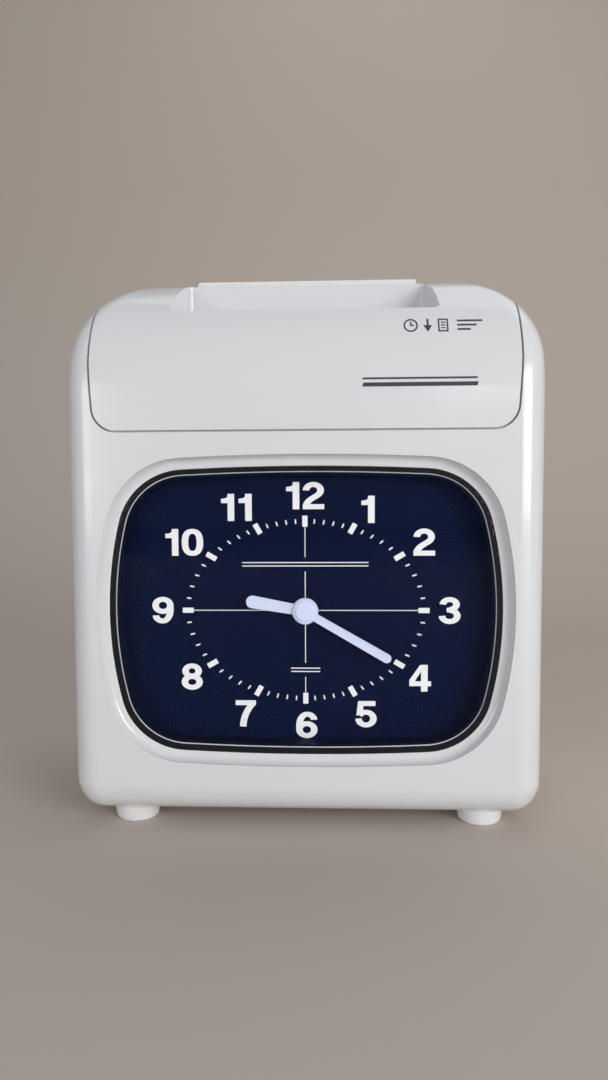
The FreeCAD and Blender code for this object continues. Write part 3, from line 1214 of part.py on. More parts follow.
def make_hinge_pins():
    spans = (("-(knuckle_outer - 0.8)", "-(knuckle_inner - 7)"),
             ("knuckle_inner - 7", "knuckle_outer - 0.8"))
    group("cover_hinge_pins", [rod(f"hinge_pin{i}", "x", "pin_radius", span,
                                   ("hinge_depth", "hinge_height"))
                               for i, span in enumerate(spans)])


# ---------------------------------------------------------------- build, check and write

def check_document():
    doc.recompute()
    for thing in doc.Objects:
        if {"Invalid", "Error"} & set(thing.State):
            raise ValueError(f"{thing.Name} did not recompute: {thing.State}")
    for label, thing in pieces.items():
        if thing.Shape.isNull() or not thing.Shape.isValid() or not thing.Shape.Solids:
            raise ValueError(f"{label} has no valid shape")


def write_pieces():
    os.makedirs("parts", exist_ok=True)
    for label, thing in pieces.items():
        thing.Shape.exportStep(f"parts/{label}.step")


for make in (make_front_casing, make_rear_casing, make_top_cover, make_hinge_pins, make_feet,
             make_inner_screws, make_window, make_train, make_movement, make_hands, make_chassis,
             make_chute, make_feed, make_printer, make_ribbon, make_panel, make_electronics,
             make_lock):
    make()
check_document()
write_pieces()
for label, thing in pieces.items():
    print(f"{label}: {len(thing.Shape.Solids)} solid(s), {thing.Shape.Volume / 1000:.2f} cm3")
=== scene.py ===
"""A punch time clock with an analogue dial.

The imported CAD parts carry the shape.  This script adds what is printed on them, the screws and the
ribbon knob in full detail, a node material for every part, and a plain studio around the clock.
Lengths in drawings are millimetres and are scaled by MM; everything placed in the scene is metres.
"""

import json
import math

import bmesh
import bpy
from mathutils import Euler, Matrix, Vector
from mathutils.bvhtree import BVHTree
from mathutils.geometry import delaunay_2d_cdt, interpolate_bezier


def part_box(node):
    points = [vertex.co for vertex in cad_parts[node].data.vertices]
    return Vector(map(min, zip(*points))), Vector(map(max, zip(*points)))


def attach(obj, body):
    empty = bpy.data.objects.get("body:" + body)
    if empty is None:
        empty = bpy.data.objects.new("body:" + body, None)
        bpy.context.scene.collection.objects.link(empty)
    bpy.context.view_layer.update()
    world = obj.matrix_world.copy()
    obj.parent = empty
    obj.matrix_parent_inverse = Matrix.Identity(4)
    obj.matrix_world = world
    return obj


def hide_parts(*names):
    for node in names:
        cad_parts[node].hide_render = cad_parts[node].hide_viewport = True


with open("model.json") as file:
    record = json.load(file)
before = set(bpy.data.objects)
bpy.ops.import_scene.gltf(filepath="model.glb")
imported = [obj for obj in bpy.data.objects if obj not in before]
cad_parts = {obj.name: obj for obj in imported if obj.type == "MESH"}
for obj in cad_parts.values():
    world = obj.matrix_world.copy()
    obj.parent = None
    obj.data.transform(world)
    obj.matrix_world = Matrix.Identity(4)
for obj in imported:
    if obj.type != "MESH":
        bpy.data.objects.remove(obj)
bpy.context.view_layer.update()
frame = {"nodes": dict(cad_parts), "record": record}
NODES = frame["nodes"]
MM = 0.001


# ---------------------------------------------------------------- node materials

def add(tree, kind, inputs=None, **settings):
    """A node with its settings; each input is a number, a colour or another node's output."""
    node = tree.nodes.new("ShaderNode" + kind)
    for name, setting in settings.items():
        setattr(node, name, setting)
    for name, source in (inputs or {}).items():
        if isinstance(source, bpy.types.NodeSocket):
            tree.links.new(source, node.inputs[name])
        else:
            node.inputs[name].default_value = source
    return node


def principled(name, roughness=0.5, **sockets):
    """A new material and its tree, with plain numbers set on the shader's own sockets."""
    made = bpy.data.materials.new(name)
    made.use_nodes = True
    shader = made.node_tree.nodes["Principled BSDF"]
    shader.inputs["Roughness"].default_value = roughness
    for socket, number in sockets.items():
        shader.inputs[socket.replace("_", " ")].default_value = number
    return made, made.node_tree, shader


def noise(tree, scale, detail=3.0, stretch=(1, 1, 1)):
    """Cloudy noise in the row frame; scale is in waves per metre."""
    place = add(tree, "TexCoord").outputs["Object"]
    spread = add(tree, "Mapping", {"Vector": place, "Scale": stretch}).outputs["Vector"]
    clouds = add(tree, "TexNoise", {"Vector": spread, "Scale": scale, "Detail": detail})
    return clouds.outputs["Fac"]


def between(tree, factor, low, high):
    """Turns noise, which mostly stays between 0.3 and 0.7, into a number from low to high."""
    return add(tree, "MapRange", {"Value": factor, "From Min": 0.3, "From Max": 0.7,
                                  "To Min": low, "To Max": high}).outputs["Result"]


def mixed(tree, factor, first, second):
    """Two colours mixed by a factor; a colour is a triple or a socket."""
    node = tree.nodes.new("ShaderNodeMix")
    node.data_type = "RGBA"
    colour_sockets = [socket for socket in node.inputs if socket.type == "RGBA"]
    for socket, source in zip([node.inputs[0]] + colour_sockets, (factor, first, second)):
        if isinstance(source, bpy.types.NodeSocket):
            tree.links.new(source, socket)
        else:
            socket.default_value = source if isinstance(source, (int, float)) else (*source, 1)
    return next(socket for socket in node.outputs if socket.type == "RGBA")


def shade(colour, share):
    return tuple(min(1.0, part * share) for part in colour)


def bump(tree, shader, height, distance):
    """Relief on the shader; distance is the height in metres that a height of 1 stands for."""
    normal = add(tree, "Bump", {"Height": height, "Distance": distance, "Strength": 1.0})
    tree.links.new(normal.outputs["Normal"], shader.inputs["Normal"])


def coloured(tree, shader, source):
    tree.links.new(source, shader.inputs["Base Color"])


def roughened(tree, shader, factor, low, high):
    tree.links.new(between(tree, factor, low, high), shader.inputs["Roughness"])


def plastic(name, colour, rough, grain=0.35, relief=0.006, mottle=0.02, **sockets):
    """Moulded plastic: faint clouds of colour, uneven polish and a mould grain (sizes in mm)."""
    made, tree, shader = principled(name, **sockets)
    dark, pale = shade(colour, 1 - mottle), shade(colour, 1 + mottle)
    coloured(tree, shader, mixed(tree, noise(tree, 22), dark, pale))
    roughened(tree, shader, noise(tree, 70, 5), rough[0], rough[1])
    bump(tree, shader, noise(tree, 1 / (grain * MM), 2), relief * MM)
    return made


def metal(name, colour, rough, brush=(1, 1, 1), relief=0.004, **sockets):
    """Metal with fine lines: brush stretches the noise, so small numbers run the lines that way."""
    made, tree, shader = principled(name, Metallic=1.0, **sockets)
    lines = noise(tree, 1500, 3, brush)
    coloured(tree, shader, mixed(tree, noise(tree, 60, 4), shade(colour, 0.88), colour))
    roughened(tree, shader, lines, rough[0], rough[1])
    bump(tree, shader, lines, relief * MM)
    return made


def galvanised(name, colour):
    """Zinc-plated sheet with faint crystals."""
    made, tree, shader = principled(name, Metallic=1.0)
    place = add(tree, "TexCoord").outputs["Object"]
    cells = add(tree, "TexVoronoi", {"Vector": place, "Scale": 160.0}).outputs["Color"]
    tone = add(tree, "RGBToBW", {"Color": cells}).outputs["Val"]
    coloured(tree, shader, mixed(tree, tone, shade(colour, 0.78), colour))
    roughened(tree, shader, tone, 0.32, 0.5)
    bump(tree, shader, noise(tree, 900, 4), 0.004 * MM)
    return made


def rubber(name, colour):
    made, tree, shader = principled(name, Specular_IOR_Level=0.3)
    coloured(tree, shader, mixed(tree, noise(tree, 120, 5), colour, shade(colour, 1.7)))
    roughened(tree, shader, noise(tree, 300), 0.6, 0.85)
    bump(tree, shader, noise(tree, 3500, 2), 0.02 * MM)
    return made


def ink(name, colour, rough=(0.35, 0.55)):
    """Screen-printed ink: nearly even, with a slightly pebbled film."""
    made, tree, shader = principled(name, Specular_IOR_Level=0.35)
    coloured(tree, shader, mixed(tree, noise(tree, 400, 4), shade(colour, 0.95), colour))
    roughened(tree, shader, noise(tree, 500), *rough)
    bump(tree, shader, noise(tree, 5000, 1), 0.003 * MM)
    return made


def winding(name, colour):
    """Lacquered wire wound about a vertical axis, with painted shade in the grooves between the
    turns.
    """
    made, tree, shader = principled(name, Metallic=1.0, Coat_Weight=0.6, Coat_Roughness=0.15)
    place = add(tree, "TexCoord").outputs["Object"]
    turns = add(tree, "TexWave", {"Vector": place, "Scale": 480.0, "Distortion": 0.4,
                                  "Detail": 1.0}, bands_direction="Z").outputs["Fac"]
    # painted shade: the bands between the turns are darkened to 0.35 of the wire's colour
    coloured(tree, shader, mixed(tree, turns, shade(colour, 0.35), colour))
    roughened(tree, shader, noise(tree, 300), 0.25, 0.4)
    bump(tree, shader, turns, 0.12 * MM)
    return made


def circuit_board(name, colour):
    """Green lacquer over copper tracks, which show as slightly raised, paler lines."""
    made, tree, shader = principled(name, Coat_Weight=0.5, Coat_Roughness=0.2)
    place = add(tree, "TexCoord").outputs["Object"]
    turned = add(tree, "Mapping", {"Vector": place, "Rotation": (math.radians(90), 0, 0)})
    tracks = add(tree, "TexBrick", {"Vector": turned.outputs["Vector"], "Scale": 90.0,
                                    "Mortar Size": 0.06, "Mortar Smooth": 0.1, "Bias": 0.0,
                                    "Brick Width": 0.9, "Row Height": 0.2}).outputs["Fac"]
    coloured(tree, shader, mixed(tree, tracks, colour, (0.10, 0.36, 0.16)))
    roughened(tree, shader, noise(tree, 200), 0.3, 0.45)
    bump(tree, shader, tracks, 0.03 * MM)
    return made


def ribbon_cloth(name, colour):
    """Fine woven nylon, inked, with painted shade between the threads and painted highlight on them.
    """
    made, tree, shader = principled(name, Sheen_Weight=0.2)
    place = add(tree, "TexCoord").outputs["Object"]
    weave = [add(tree, "TexWave", {"Vector": place, "Scale": 900.0},
                 bands_direction=direction).outputs["Fac"] for direction in "XZ"]
    cross = add(tree, "Math", {0: weave[0], 1: weave[1]}, operation="MULTIPLY").outputs["Value"]
    # painted shade and highlight: the colour runs from 0.6 to 1.5 of the ink, darker between
    # threads, paler on them
    coloured(tree, shader, mixed(tree, cross, shade(colour, 0.6), shade(colour, 1.5)))
    roughened(tree, shader, noise(tree, 200), 0.7, 0.9)
    bump(tree, shader, cross, 0.04 * MM)
    return made


def clear_lens(name):
    """Clear moulded acrylic.  Lamps reach the dial through it, as through a real thin window."""
    made, tree, shader = principled(name, roughness=0.0, Transmission_Weight=1.0, IOR=1.17)
    coloured(tree, shader, mixed(tree, noise(tree, 30), (0.97, 0.985, 1.0), (0.985, 0.99, 1.0)))
    bump(tree, shader, noise(tree, 16, 1), 0.02 * MM)
    open_way = add(tree, "BsdfTransparent", {"Color": (0.975, 0.98, 0.99, 1)}).outputs["BSDF"]
    lamp_ray = add(tree, "LightPath").outputs["Is Shadow Ray"]
    both = add(tree, "MixShader", {0: lamp_ray, 1: shader.outputs["BSDF"], 2: open_way})
    tree.links.new(both.outputs["Shader"], tree.nodes["Material Output"].inputs["Surface"])
    return made


def display(name, colour):
    """A liquid crystal display under its clear front: a pale grey-green field."""
    made, tree, shader = principled(name, Coat_Weight=1.0, Coat_Roughness=0.05)
    coloured(tree, shader, mixed(tree, noise(tree, 90, 4), shade(colour, 0.93), colour))
    roughened(tree, shader, noise(tree, 200), 0.35, 0.5)
    bump(tree, shader, noise(tree, 2500, 1), 0.003 * MM)
    return made


BODY_WHITE = (0.795, 0.805, 0.835)
FINISHES = {
    "body_white": plastic("body_white_gloss", BODY_WHITE, (0.16, 0.24), grain=2.2, relief=0.010,
                          mottle=0.008, Coat_Weight=0.35, Coat_Roughness=0.08),
    "foot_white": plastic("foot_white_satin", (0.86, 0.87, 0.88), (0.34, 0.46)),
    "guide_white": plastic("guide_white_gloss", (0.86, 0.87, 0.87), (0.2, 0.3), relief=0.003),
    "lens_clear": clear_lens("lens_acrylic"),
    "gasket_black": rubber("gasket_rubber", (0.012, 0.012, 0.014)),
    "surround_black": plastic("surround_navy", (0.0014, 0.0050, 0.024), (0.5, 0.65),
                              Specular_IOR_Level=0.05),
    "dial_navy": plastic("dial_navy", (0.0014, 0.0056, 0.030), (0.5, 0.6), grain=0.2,
                         relief=0, mottle=0.002, Specular_IOR_Level=0.03),
    "hand_pale": plastic("hand_paint", (0.70, 0.76, 0.98), (0.30, 0.42), grain=0.25, relief=0.002,
                         mottle=0.01),
    "sheet_steel": galvanised("zinc_sheet", (0.66, 0.68, 0.71)),
    "turned_steel": metal("turned_steel", (0.72, 0.72, 0.74), (0.14, 0.3), brush=(0.05, 1, 1)),
    "screw_steel": metal("screw_zinc", (0.62, 0.63, 0.66), (0.22, 0.38)),
    "gear_brass": metal("gear_brass", (0.83, 0.62, 0.28), (0.2, 0.36), brush=(1, 0.1, 1)),
    "gear_plastic": plastic("gear_acetal", (0.83, 0.82, 0.76), (0.35, 0.5)),
    "case_black": plastic("moulding_black", (0.018, 0.018, 0.021), (0.38, 0.55), relief=0.02),
    "copper_wire": winding("copper_winding", (0.80, 0.38, 0.20)),
    "roller_rubber": rubber("roller_rubber", (0.018, 0.018, 0.018)),
    "motor_can": metal("motor_can", (0.46, 0.47, 0.50), (0.28, 0.45), brush=(1, 1, 0.08)),
    "board_green": circuit_board("circuit_board", (0.012, 0.14, 0.05)),
    "component_black": plastic("component_black", (0.02, 0.02, 0.022), (0.4, 0.6)),
    "ribbon_ink": ribbon_cloth("ink_ribbon_weave", (0.02, 0.015, 0.05)),
    "panel_grey": plastic("panel_grey", (0.30, 0.32, 0.35), (0.4, 0.55), relief=0.02),
    "button_grey": plastic("button_grey", (0.60, 0.61, 0.63), (0.3, 0.45)),
    "display_glass": display("display_field", (0.30, 0.36, 0.28)),
    "lock_chrome": metal("lock_chrome", (0.82, 0.83, 0.85), (0.04, 0.12), relief=0.001),
}

for subpart in frame["record"]["subparts"]:
    for slot in NODES[subpart["node"]].material_slots:
        slot.material = FINISHES[subpart["material_slot"]]

WHITE_INK = ink("dial_white_ink", (0.95, 0.95, 0.95))
DARK_INK = ink("case_dark_ink", (0.055, 0.062, 0.085))
LIGHT_INK = ink("panel_light_ink", (0.80, 0.80, 0.80))
SEGMENT_INK = ink("display_segments", (0.02, 0.022, 0.02), (0.2, 0.3))


# ---------------------------------------------------------------- flat drawing

def rectangle(left, right, low, high):
    return [(left, low), (right, low), (right, high), (left, high)]


def bar(start, end, width):
    """A straight line of that width between two points."""
    start, end = Vector(start), Vector(end)
    along = (end - start).normalized()
    side = Vector((-along.y, along.x)) * width / 2
    return [start - side, end - side, end + side, start + side]


def arc(centre, radii, first, last, steps=24):
    """Points on part of an ellipse, from one angle to another in degrees."""
    angles = [math.radians(first + (last - first) * i / steps) for i in range(steps + 1)]
    return [Vector((centre[0] + radii[0] * math.cos(a), centre[1] + radii[1] * math.sin(a)))
            for a in angles]


def curve(*points, steps=14):
    """Points on a Bezier curve with two handles."""
    return [Vector(point[:2]) for point in
            interpolate_bezier(*(Vector((*point, 0)) for point in points), steps + 1)]


def stroke(points, pen):
    """Quads along a line, drawn with a pen that is pen[0] wide and pen[1] high."""
    offsets = []
    for i, point in enumerate(points):
        along = (points[min(i + 1, len(points) - 1)] - points[max(i - 1, 0)]).normalized()
        offsets.append(Vector((-along.y * pen[0], along.x * pen[1])) / 2)
    return [[points[i] - offsets[i], points[i + 1] - offsets[i + 1],
             points[i + 1] + offsets[i + 1], points[i] + offsets[i]]
            for i in range(len(points) - 1)]


def ring(centre, radii, width):
    """A closed elliptical line."""
    return stroke(arc(centre, radii, 0, 360, 48), (width, width))


def moved(polygons, shift, scale=1.0):
    return [[Vector((x * scale + shift[0], y * scale + shift[1])) for x, y in polygon]
            for polygon in polygons]


def signed_area(polygon):
    return sum(a.x * b.y - b.x * a.y for a, b in zip(polygon, polygon[1:] + polygon[:1])) / 2


def flat_union(polygons):
    """Overlapping polygons as one flat bmesh without inner faces."""
    corners, faces = [], []
    for polygon in polygons:
        outline = [Vector(corner) for corner in polygon]
        if signed_area(outline) < 0:
            outline.reverse()
        faces.append(list(range(len(corners), len(corners) + len(outline))))
        corners += outline
    points, _, triangles, _, _, owners = delaunay_2d_cdt(corners, [], faces, 0, 1e-4)
    drawn = bmesh.new()
    verts = [drawn.verts.new((*point, 0)) for point in points]
    for triangle, owner in zip(triangles, owners):
        if owner:
            drawn.faces.new([verts[i] for i in triangle])
    loose = [vert for vert in verts if not vert.link_faces]
    bmesh.ops.delete(drawn, geom=loose, context="VERTS")
    bmesh.ops.dissolve_limit(drawn, angle_limit=math.radians(1), verts=drawn.verts,
                             edges=drawn.edges)
    bmesh.ops.recalc_face_normals(drawn, faces=drawn.faces)
    return drawn


def to_object(name, drawn, finish, body, smooth=False):
    """Turns a bmesh in metres into a piece that rides on a body."""
    bmesh.ops.recalc_face_normals(drawn, faces=drawn.faces)
    mesh = bpy.data.meshes.new(name)
    drawn.to_mesh(mesh)
    drawn.free()
    mesh.materials.append(finish)
    if smooth:
        mesh.shade_smooth()
        mesh.set_sharp_from_angle(angle=math.radians(32))
    piece = bpy.data.objects.new(name, mesh)
    bpy.context.scene.collection.objects.link(piece)
    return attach(piece, body) if body else piece


def printed(name, polygons, surface, finish, body, pitch=None):
    """A film of ink on a surface.

    surface(u, v) gives the point, in metres, under a point of the drawing, and the way out of it.
    On a curved surface, pitch cuts the film into strips of that height so that it follows.
    """
    film, sunk = 0.10 * MM, 0.02 * MM
    drawn = flat_union(polygons)
    if pitch:
        low = min(vert.co.y for vert in drawn.verts)
        high = max(vert.co.y for vert in drawn.verts)
        for i in range(1, int((high - low) / pitch) + 1):
            bmesh.ops.bisect_plane(drawn, geom=drawn.verts[:] + drawn.edges[:] + drawn.faces[:],
                                   plane_co=(0, low + i * pitch, 0), plane_no=(0, 1, 0))
    raised = bmesh.ops.extrude_face_region(drawn, geom=drawn.faces[:])["geom"]
    tops = {item for item in raised if isinstance(item, bmesh.types.BMVert)}
    for vert in drawn.verts:
        point, outward = surface(vert.co.x, vert.co.y)
        vert.co = point + outward * (film if vert in tops else -sunk)
    return to_object(name, drawn, finish, body)


# ---------------------------------------------------------------- the printed dial

DIAL_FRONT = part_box("dial_plate")[0].y
HUB = sum(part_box("hand_cap"), Vector()) / 2
TRACK = (52.5, 39.7, 2.0)           # half width, half height and squareness of the minute track
HOUR_MARK, MINUTE_MARK = (4.9, 2.3), (2.0, 0.62)        # length and width
NUMERAL_RING = (63.9, 51.0, 2.1)
# how far each printed numeral sits from its place on the ring
NUMERAL_SHIFTS = {1: (0.9, -2.0), 4: (-1.6, 0.0), 6: (0.4, -0.9), 8: (1.4, 0.2),
                  10: (-1.5, 0.1), 11: (-3.2, -0.9)}
NUMERAL_HEIGHT = 12.0
RULES = ((20.6, 28.0), (-26.8, 6.5))    # height above the hub and half length of each pair
RULE_WIDTH, RULE_HALF_GAP = 0.45, 0.75
HAIR_WIDTH = 0.36                   # of the lines through the hub
HAIR_STOP = 2.6                     # from the middle of the track to the end of a line
HAIR_BREAK = 3.2                    # from a pair of rules to the end of a line


def on_dial(u, v):
    return Vector((HUB.x + u * MM, DIAL_FRONT, HUB.z + v * MM)), Vector((0, -1, 0))


def on_oval(oval, degrees):
    """The point of a squarish oval in the direction of a clock angle."""
    half_width, half_height, power = oval
    way = Vector((math.sin(math.radians(degrees)), math.cos(math.radians(degrees))))
    reach = (abs(way.x / half_width) ** power + abs(way.y / half_height) ** power) ** (-1 / power)
    return way * reach


PEN = (0.245, 0.185)                # stroke widths of a numeral that is 1 high
NUMERAL_WIDTH = 0.80


def rounded_loop(centre, radii, squareness=2.5, steps=48):
    """A closed loop that is fuller in its corners than an ellipse."""
    loop = []
    for i in range(steps + 1):
        angle = 2 * math.pi * i / steps
        across, up = [math.copysign(abs(share) ** (2 / squareness), share)
                      for share in (math.cos(angle), math.sin(angle))]
        loop.append(Vector((centre[0] + radii[0] * across, centre[1] + radii[1] * up)))
    return loop


def closed_stroke(points, pen):
    """Quads along a loop whose last point repeats its first."""
    around = points[:-1]
    offsets = []
    for i in range(len(around)):
        along = (around[(i + 1) % len(around)] - around[i - 1]).normalized()
        offsets.append(Vector((-along.y * pen[0], along.x * pen[1])) / 2)
    return [[around[i - 1] - offsets[i - 1], around[i] - offsets[i],
             around[i] + offsets[i], around[i - 1] + offsets[i - 1]] for i in range(len(around))]


def digit_shapes():
    """Ten broad, bold digits, each 1 high, as polygons that may overlap."""
    stem, level = PEN
    middle, right = NUMERAL_WIDTH / 2, NUMERAL_WIDTH - stem / 2
    left, top, foot = stem / 2, 1 - level / 2, level / 2
    bowl = (right - left) / 2
    upper_bowl = bowl - 0.03
    zero = closed_stroke(rounded_loop((middle, 0.5), (bowl, 0.5 - foot)), PEN)
    one = [rectangle(0.28, 0.28 + stem, 0, 1),
           [(0.04, 0.66), (0.30, 0.66), (0.36, 1.0), (0.335, 1.0), (0.28, 0.89), (0.19, 0.835),
            (0.04, 0.82)]]
    two = (stroke(arc((middle - 0.01, 0.69), (bowl - 0.01, top - 0.69), 180, 0)
                  + curve((right - 0.02, 0.69), (right - 0.02, 0.45), (left + 0.06, 0.44),
                          (left, 0.12))[1:], PEN)
           + [rectangle(0, NUMERAL_WIDTH - 0.01, 0, level)])
    three = (stroke(arc((middle - 0.01, 0.725), (upper_bowl, top - 0.725), 180, -90), PEN)
             + stroke(arc((middle - 0.01, 0.30), (bowl, 0.30 - foot), 90, -180), PEN)
             + [rectangle(middle - 0.12, middle, 0.53 - level / 2, 0.53 + level / 2 - 0.02)])
    four = [rectangle(0, NUMERAL_WIDTH, 0.20, 0.20 + level),
            rectangle(0.43, 0.43 + stem, 0, 1),
            [(0, 0.37), (0.19, 0.37), (0.45, 0.78), (0.45, 1.0), (0.40, 1.0), (0, 0.43)]]
    five = ([rectangle(0.11, NUMERAL_WIDTH - 0.06, 1 - level, 1),
             [(0.10, 1.0), (0.32, 1.0), (0.27, 0.60), (0.22, 0.48), (0.03, 0.45)]]
            + stroke(arc((middle - 0.01, 0.335), (bowl, 0.335 - foot), 150, -180), PEN))
    six = (closed_stroke(arc((middle, 0.32), (bowl, 0.32 - foot), 0, 360, 48), PEN)
           + stroke(arc((middle + 0.01, 0.70), (bowl - 0.02, top - 0.70), 0, 90)
                    + arc((middle + 0.01, 0.48), (bowl + 0.01, top - 0.48), 90, 180)[1:]
                    + [Vector((left, 0.32))], PEN))
    seven = ([rectangle(0.02, NUMERAL_WIDTH - 0.02, 1 - level, 1)]
             + stroke(curve((right, 0.90), (right - 0.22, 0.66), (left + 0.19, 0.38),
                            (left + 0.17, 0.0)), PEN))
    eight = (closed_stroke(arc((middle, 0.715), (upper_bowl, top - 0.715), 0, 360, 48), PEN)
             + closed_stroke(arc((middle, 0.30), (bowl, 0.30 - foot), 0, 360, 48), PEN))
    nine = [[(NUMERAL_WIDTH - x, 1 - y) for x, y in polygon] for polygon in six]
    return [zero, one, two, three, four, five, six, seven, eight, nine]


DIGITS = digit_shapes()
DIGIT_GAP = 0.07
DIGIT_WIDTHS = [0.58 if digit == 1 else NUMERAL_WIDTH for digit in range(10)]


def numeral(number, centre, height):
    """A number drawn about a centre."""
    figures = [int(figure) for figure in str(number)]
    width = sum(DIGIT_WIDTHS[figure] for figure in figures) + DIGIT_GAP * (len(figures) - 1)
    shapes, pen_x = [], centre[0] - width * height / 2
    for figure in figures:
        shapes += moved(DIGITS[figure], (pen_x, centre[1] - height / 2), height)
        pen_x += (DIGIT_WIDTHS[figure] + DIGIT_GAP) * height
    return shapes


def print_dial():
    figures, marks = [], []
    for hour in range(1, 13):
        centre = on_oval(NUMERAL_RING, hour * 30) + Vector(NUMERAL_SHIFTS.get(hour, (0, 0)))
        figures += numeral(hour, centre, NUMERAL_HEIGHT)
    for minute in range(60):
        spot = on_oval(TRACK, minute * 6)
        length, width = MINUTE_MARK if minute % 5 else HOUR_MARK
        way = spot.normalized() * length / 2
        marks.append(bar(spot - way, spot + way, width))
    reach_x, reach_y = TRACK[0] - HAIR_STOP, TRACK[1] - HAIR_STOP
    upper, lower = (level for level, _ in RULES)
    lines = [bar(start, end, HAIR_WIDTH) for start, end in (
        ((-reach_x, 0), (reach_x, 0)),
        ((0, lower + HAIR_BREAK), (0, upper - HAIR_BREAK)),
        ((0, upper + HAIR_BREAK), (0, reach_y)),
        ((0, -reach_y), (0, lower - HAIR_BREAK)))]
    for level, half in RULES:
        for height in (level - RULE_HALF_GAP, level + RULE_HALF_GAP):
            lines.append(bar((-half, height), (half, height), RULE_WIDTH))
    printed("dial_numerals", figures, on_dial, WHITE_INK, "case")
    printed("dial_minute_track", marks, on_dial, WHITE_INK, "case")
    printed("dial_fine_lines", lines, on_dial, WHITE_INK, "case")


# ---------------------------------------------------------------- print on the cover

def facing(node, way):
    """A surface for printing on a CAD node, looking along way from outside it."""
    tree = BVHTree.FromPolygons([vert.co for vert in NODES[node].data.vertices],
                                [face.vertices for face in NODES[node].data.polygons])
    way = Vector(way)

    def surface(u, v):
        start = Vector((u * MM, -0.2, v * MM)) if way.y else Vector((u * MM, v * MM, 0.4))
        hit, normal, _, _ = tree.ray_cast(start, way)
        if hit is None:
            raise ValueError(f"print at {u:.1f}, {v:.1f} misses {node}")
        return hit, normal if normal.dot(way) < 0 else -normal
    return surface


def clock_pictogram(centre, radius):
    x, y = centre
    return (ring(centre, (radius, radius), 0.62)
            + [bar((x, y - 0.3), (x, y + radius * 0.62), 0.6),
               bar((x - 0.3, y), (x + radius * 0.5, y), 0.6)])


def card_pictogram(centre, height):
    """A time card: an outline with three lines on it."""
    x, y = centre
    half_x, half_y, line = height * 0.34, height / 2, 0.6
    edges = [bar((x - half_x, level), (x + half_x, level), line)
             for level in (y - half_y, y + half_y)]
    edges += [bar((side, y - half_y - line / 2), (side, y + half_y + line / 2), line)
              for side in (x - half_x, x + half_x)]
    rules = [bar((x - half_x * 0.5, y + step), (x + half_x * 0.5, y + step), 0.5)
             for step in (-1.3, 0.0, 1.3)]
    return edges + rules


def down_arrow(centre, height):
    x, y = centre
    return [bar((x, y + height / 2), (x, y - height * 0.1), 0.8),
            [(x - height * 0.3, y), (x, y - height / 2), (x + height * 0.3, y)]]


def print_cover():
    surface = facing("top_cover", (0, 1, 0))
    level, size = 220.0, 6.0
    icons = (clock_pictogram((45.8, level), size / 2 - 0.3) + down_arrow((53.0, level), size)
             + card_pictogram((59.5, level), size - 0.6)
             + [bar((65.5, level + shift), (76.2 - inset, level + shift), 0.8)
                for shift, inset in ((2.0, 0), (0, 2.6), (-2.0, 5.2))])
    stripes = []
    left, right, lean, strip = 25.0, 73.0, 0.3, 0.8
    for low, width in ((193.6, 1.7), (196.6, 0.8)):
        stripes.append([(left, low), (right, low), (right + width * lean, low + width),
                        (left + width * lean, low + width)])
    printed("cover_pictograms", icons, surface, DARK_INK, "cover", pitch=strip)
    printed("cover_pinstripes", stripes, surface, DARK_INK, "cover", pitch=strip)


# ---------------------------------------------------------------- settings panel under the cover

def print_panel():
    surface = facing("settings_panel", (0, 0, -1))
    signs = []
    for number in range(1, 5):
        low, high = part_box(f"set_button_{number}")
        x, near = (low.x + high.x) / 2 / MM, low.y / MM - 3.4
        half = 1.7
        if number == 1:
            signs += [[(x - half, near - half), (x + half, near - half), (x, near + half)]]
        elif number == 2:
            signs += [[(x - half, near + half), (x, near - half), (x + half, near + half)]]
        elif number == 3:
            signs += ring((x, near), (half, half), 0.5)
        else:
            signs += [bar((x - half, near), (x + half, near), 0.7),
                      bar((x, near - half), (x, near + half), 0.7)]
    low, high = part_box("lcd_module")
    margin = 1.0
    left, right = low.x / MM + margin, high.x / MM - margin
    near, far = low.y / MM + margin, high.y / MM - margin
    for start, end in (((left, near), (right, near)), ((left, far), (right, far)),
                       ((left, near), (left, far)), ((right, near), (right, far))):
        signs.append(bar(start, end, 0.5))
    printed("panel_signs", signs, surface, LIGHT_INK, "case")


SEGMENTS = {                        # which of the seven segments each figure lights
    "0": "abcdef", "1": "bc", "2": "abged", "3": "abgcd", "4": "fgbc",
    "5": "afgcd", "6": "afgedc", "7": "abc", "8": "abcdefg", "9": "abcdfg",
}


def segment_figure(figure, corner, width, height):
    """A seven-segment figure with its lower left at corner."""
    thick, gap = 0.13 * height, 0.02 * height
    x, y = corner
    spots = {"a": ((x, y + height), (x + width, y + height)),
             "g": ((x, y + height / 2), (x + width, y + height / 2)),
             "d": ((x, y), (x + width, y)),
             "f": ((x, y + height / 2), (x, y + height)),
             "b": ((x + width, y + height / 2), (x + width, y + height)),
             "e": ((x, y), (x, y + height / 2)),
             "c": ((x + width, y), (x + width, y + height / 2))}
    shapes = []
    for name in SEGMENTS[figure]:
        start, end = map(Vector, spots[name])
        way = (end - start).normalized() * (thick / 2 + gap)
        shapes.append(bar(start + way, end - way, thick))
    return shapes


def show_display():
    """The time that the hands show, in segments."""
    low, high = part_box("lcd_module")
    middle, height, width, step = (low.y + high.y) / 2 / MM, 9.0, 4.6, 7.4
    start_x = low.x / MM + 14.0
    shapes = []
    for place, figure in enumerate(("0", "9", None, "2", "0")):
        x = start_x + place * step - (0 if place < 3 else step * 0.45)
        if figure is None:
            colon = x + 0.4
            shapes += [rectangle(colon, colon + 1.1, middle + y, middle + y + 1.1)
                       for y in (-2.6, 1.6)]
        else:
            shapes += segment_figure(figure, (x, middle - height / 2), width, height)

    def on_display(u, v):
        return Vector((u * MM, v * MM, high.z)), Vector((0, 0, 1))

    printed("display_segments", shapes, on_display, SEGMENT_INK, "case")


# ---------------------------------------------------------------- turned pieces

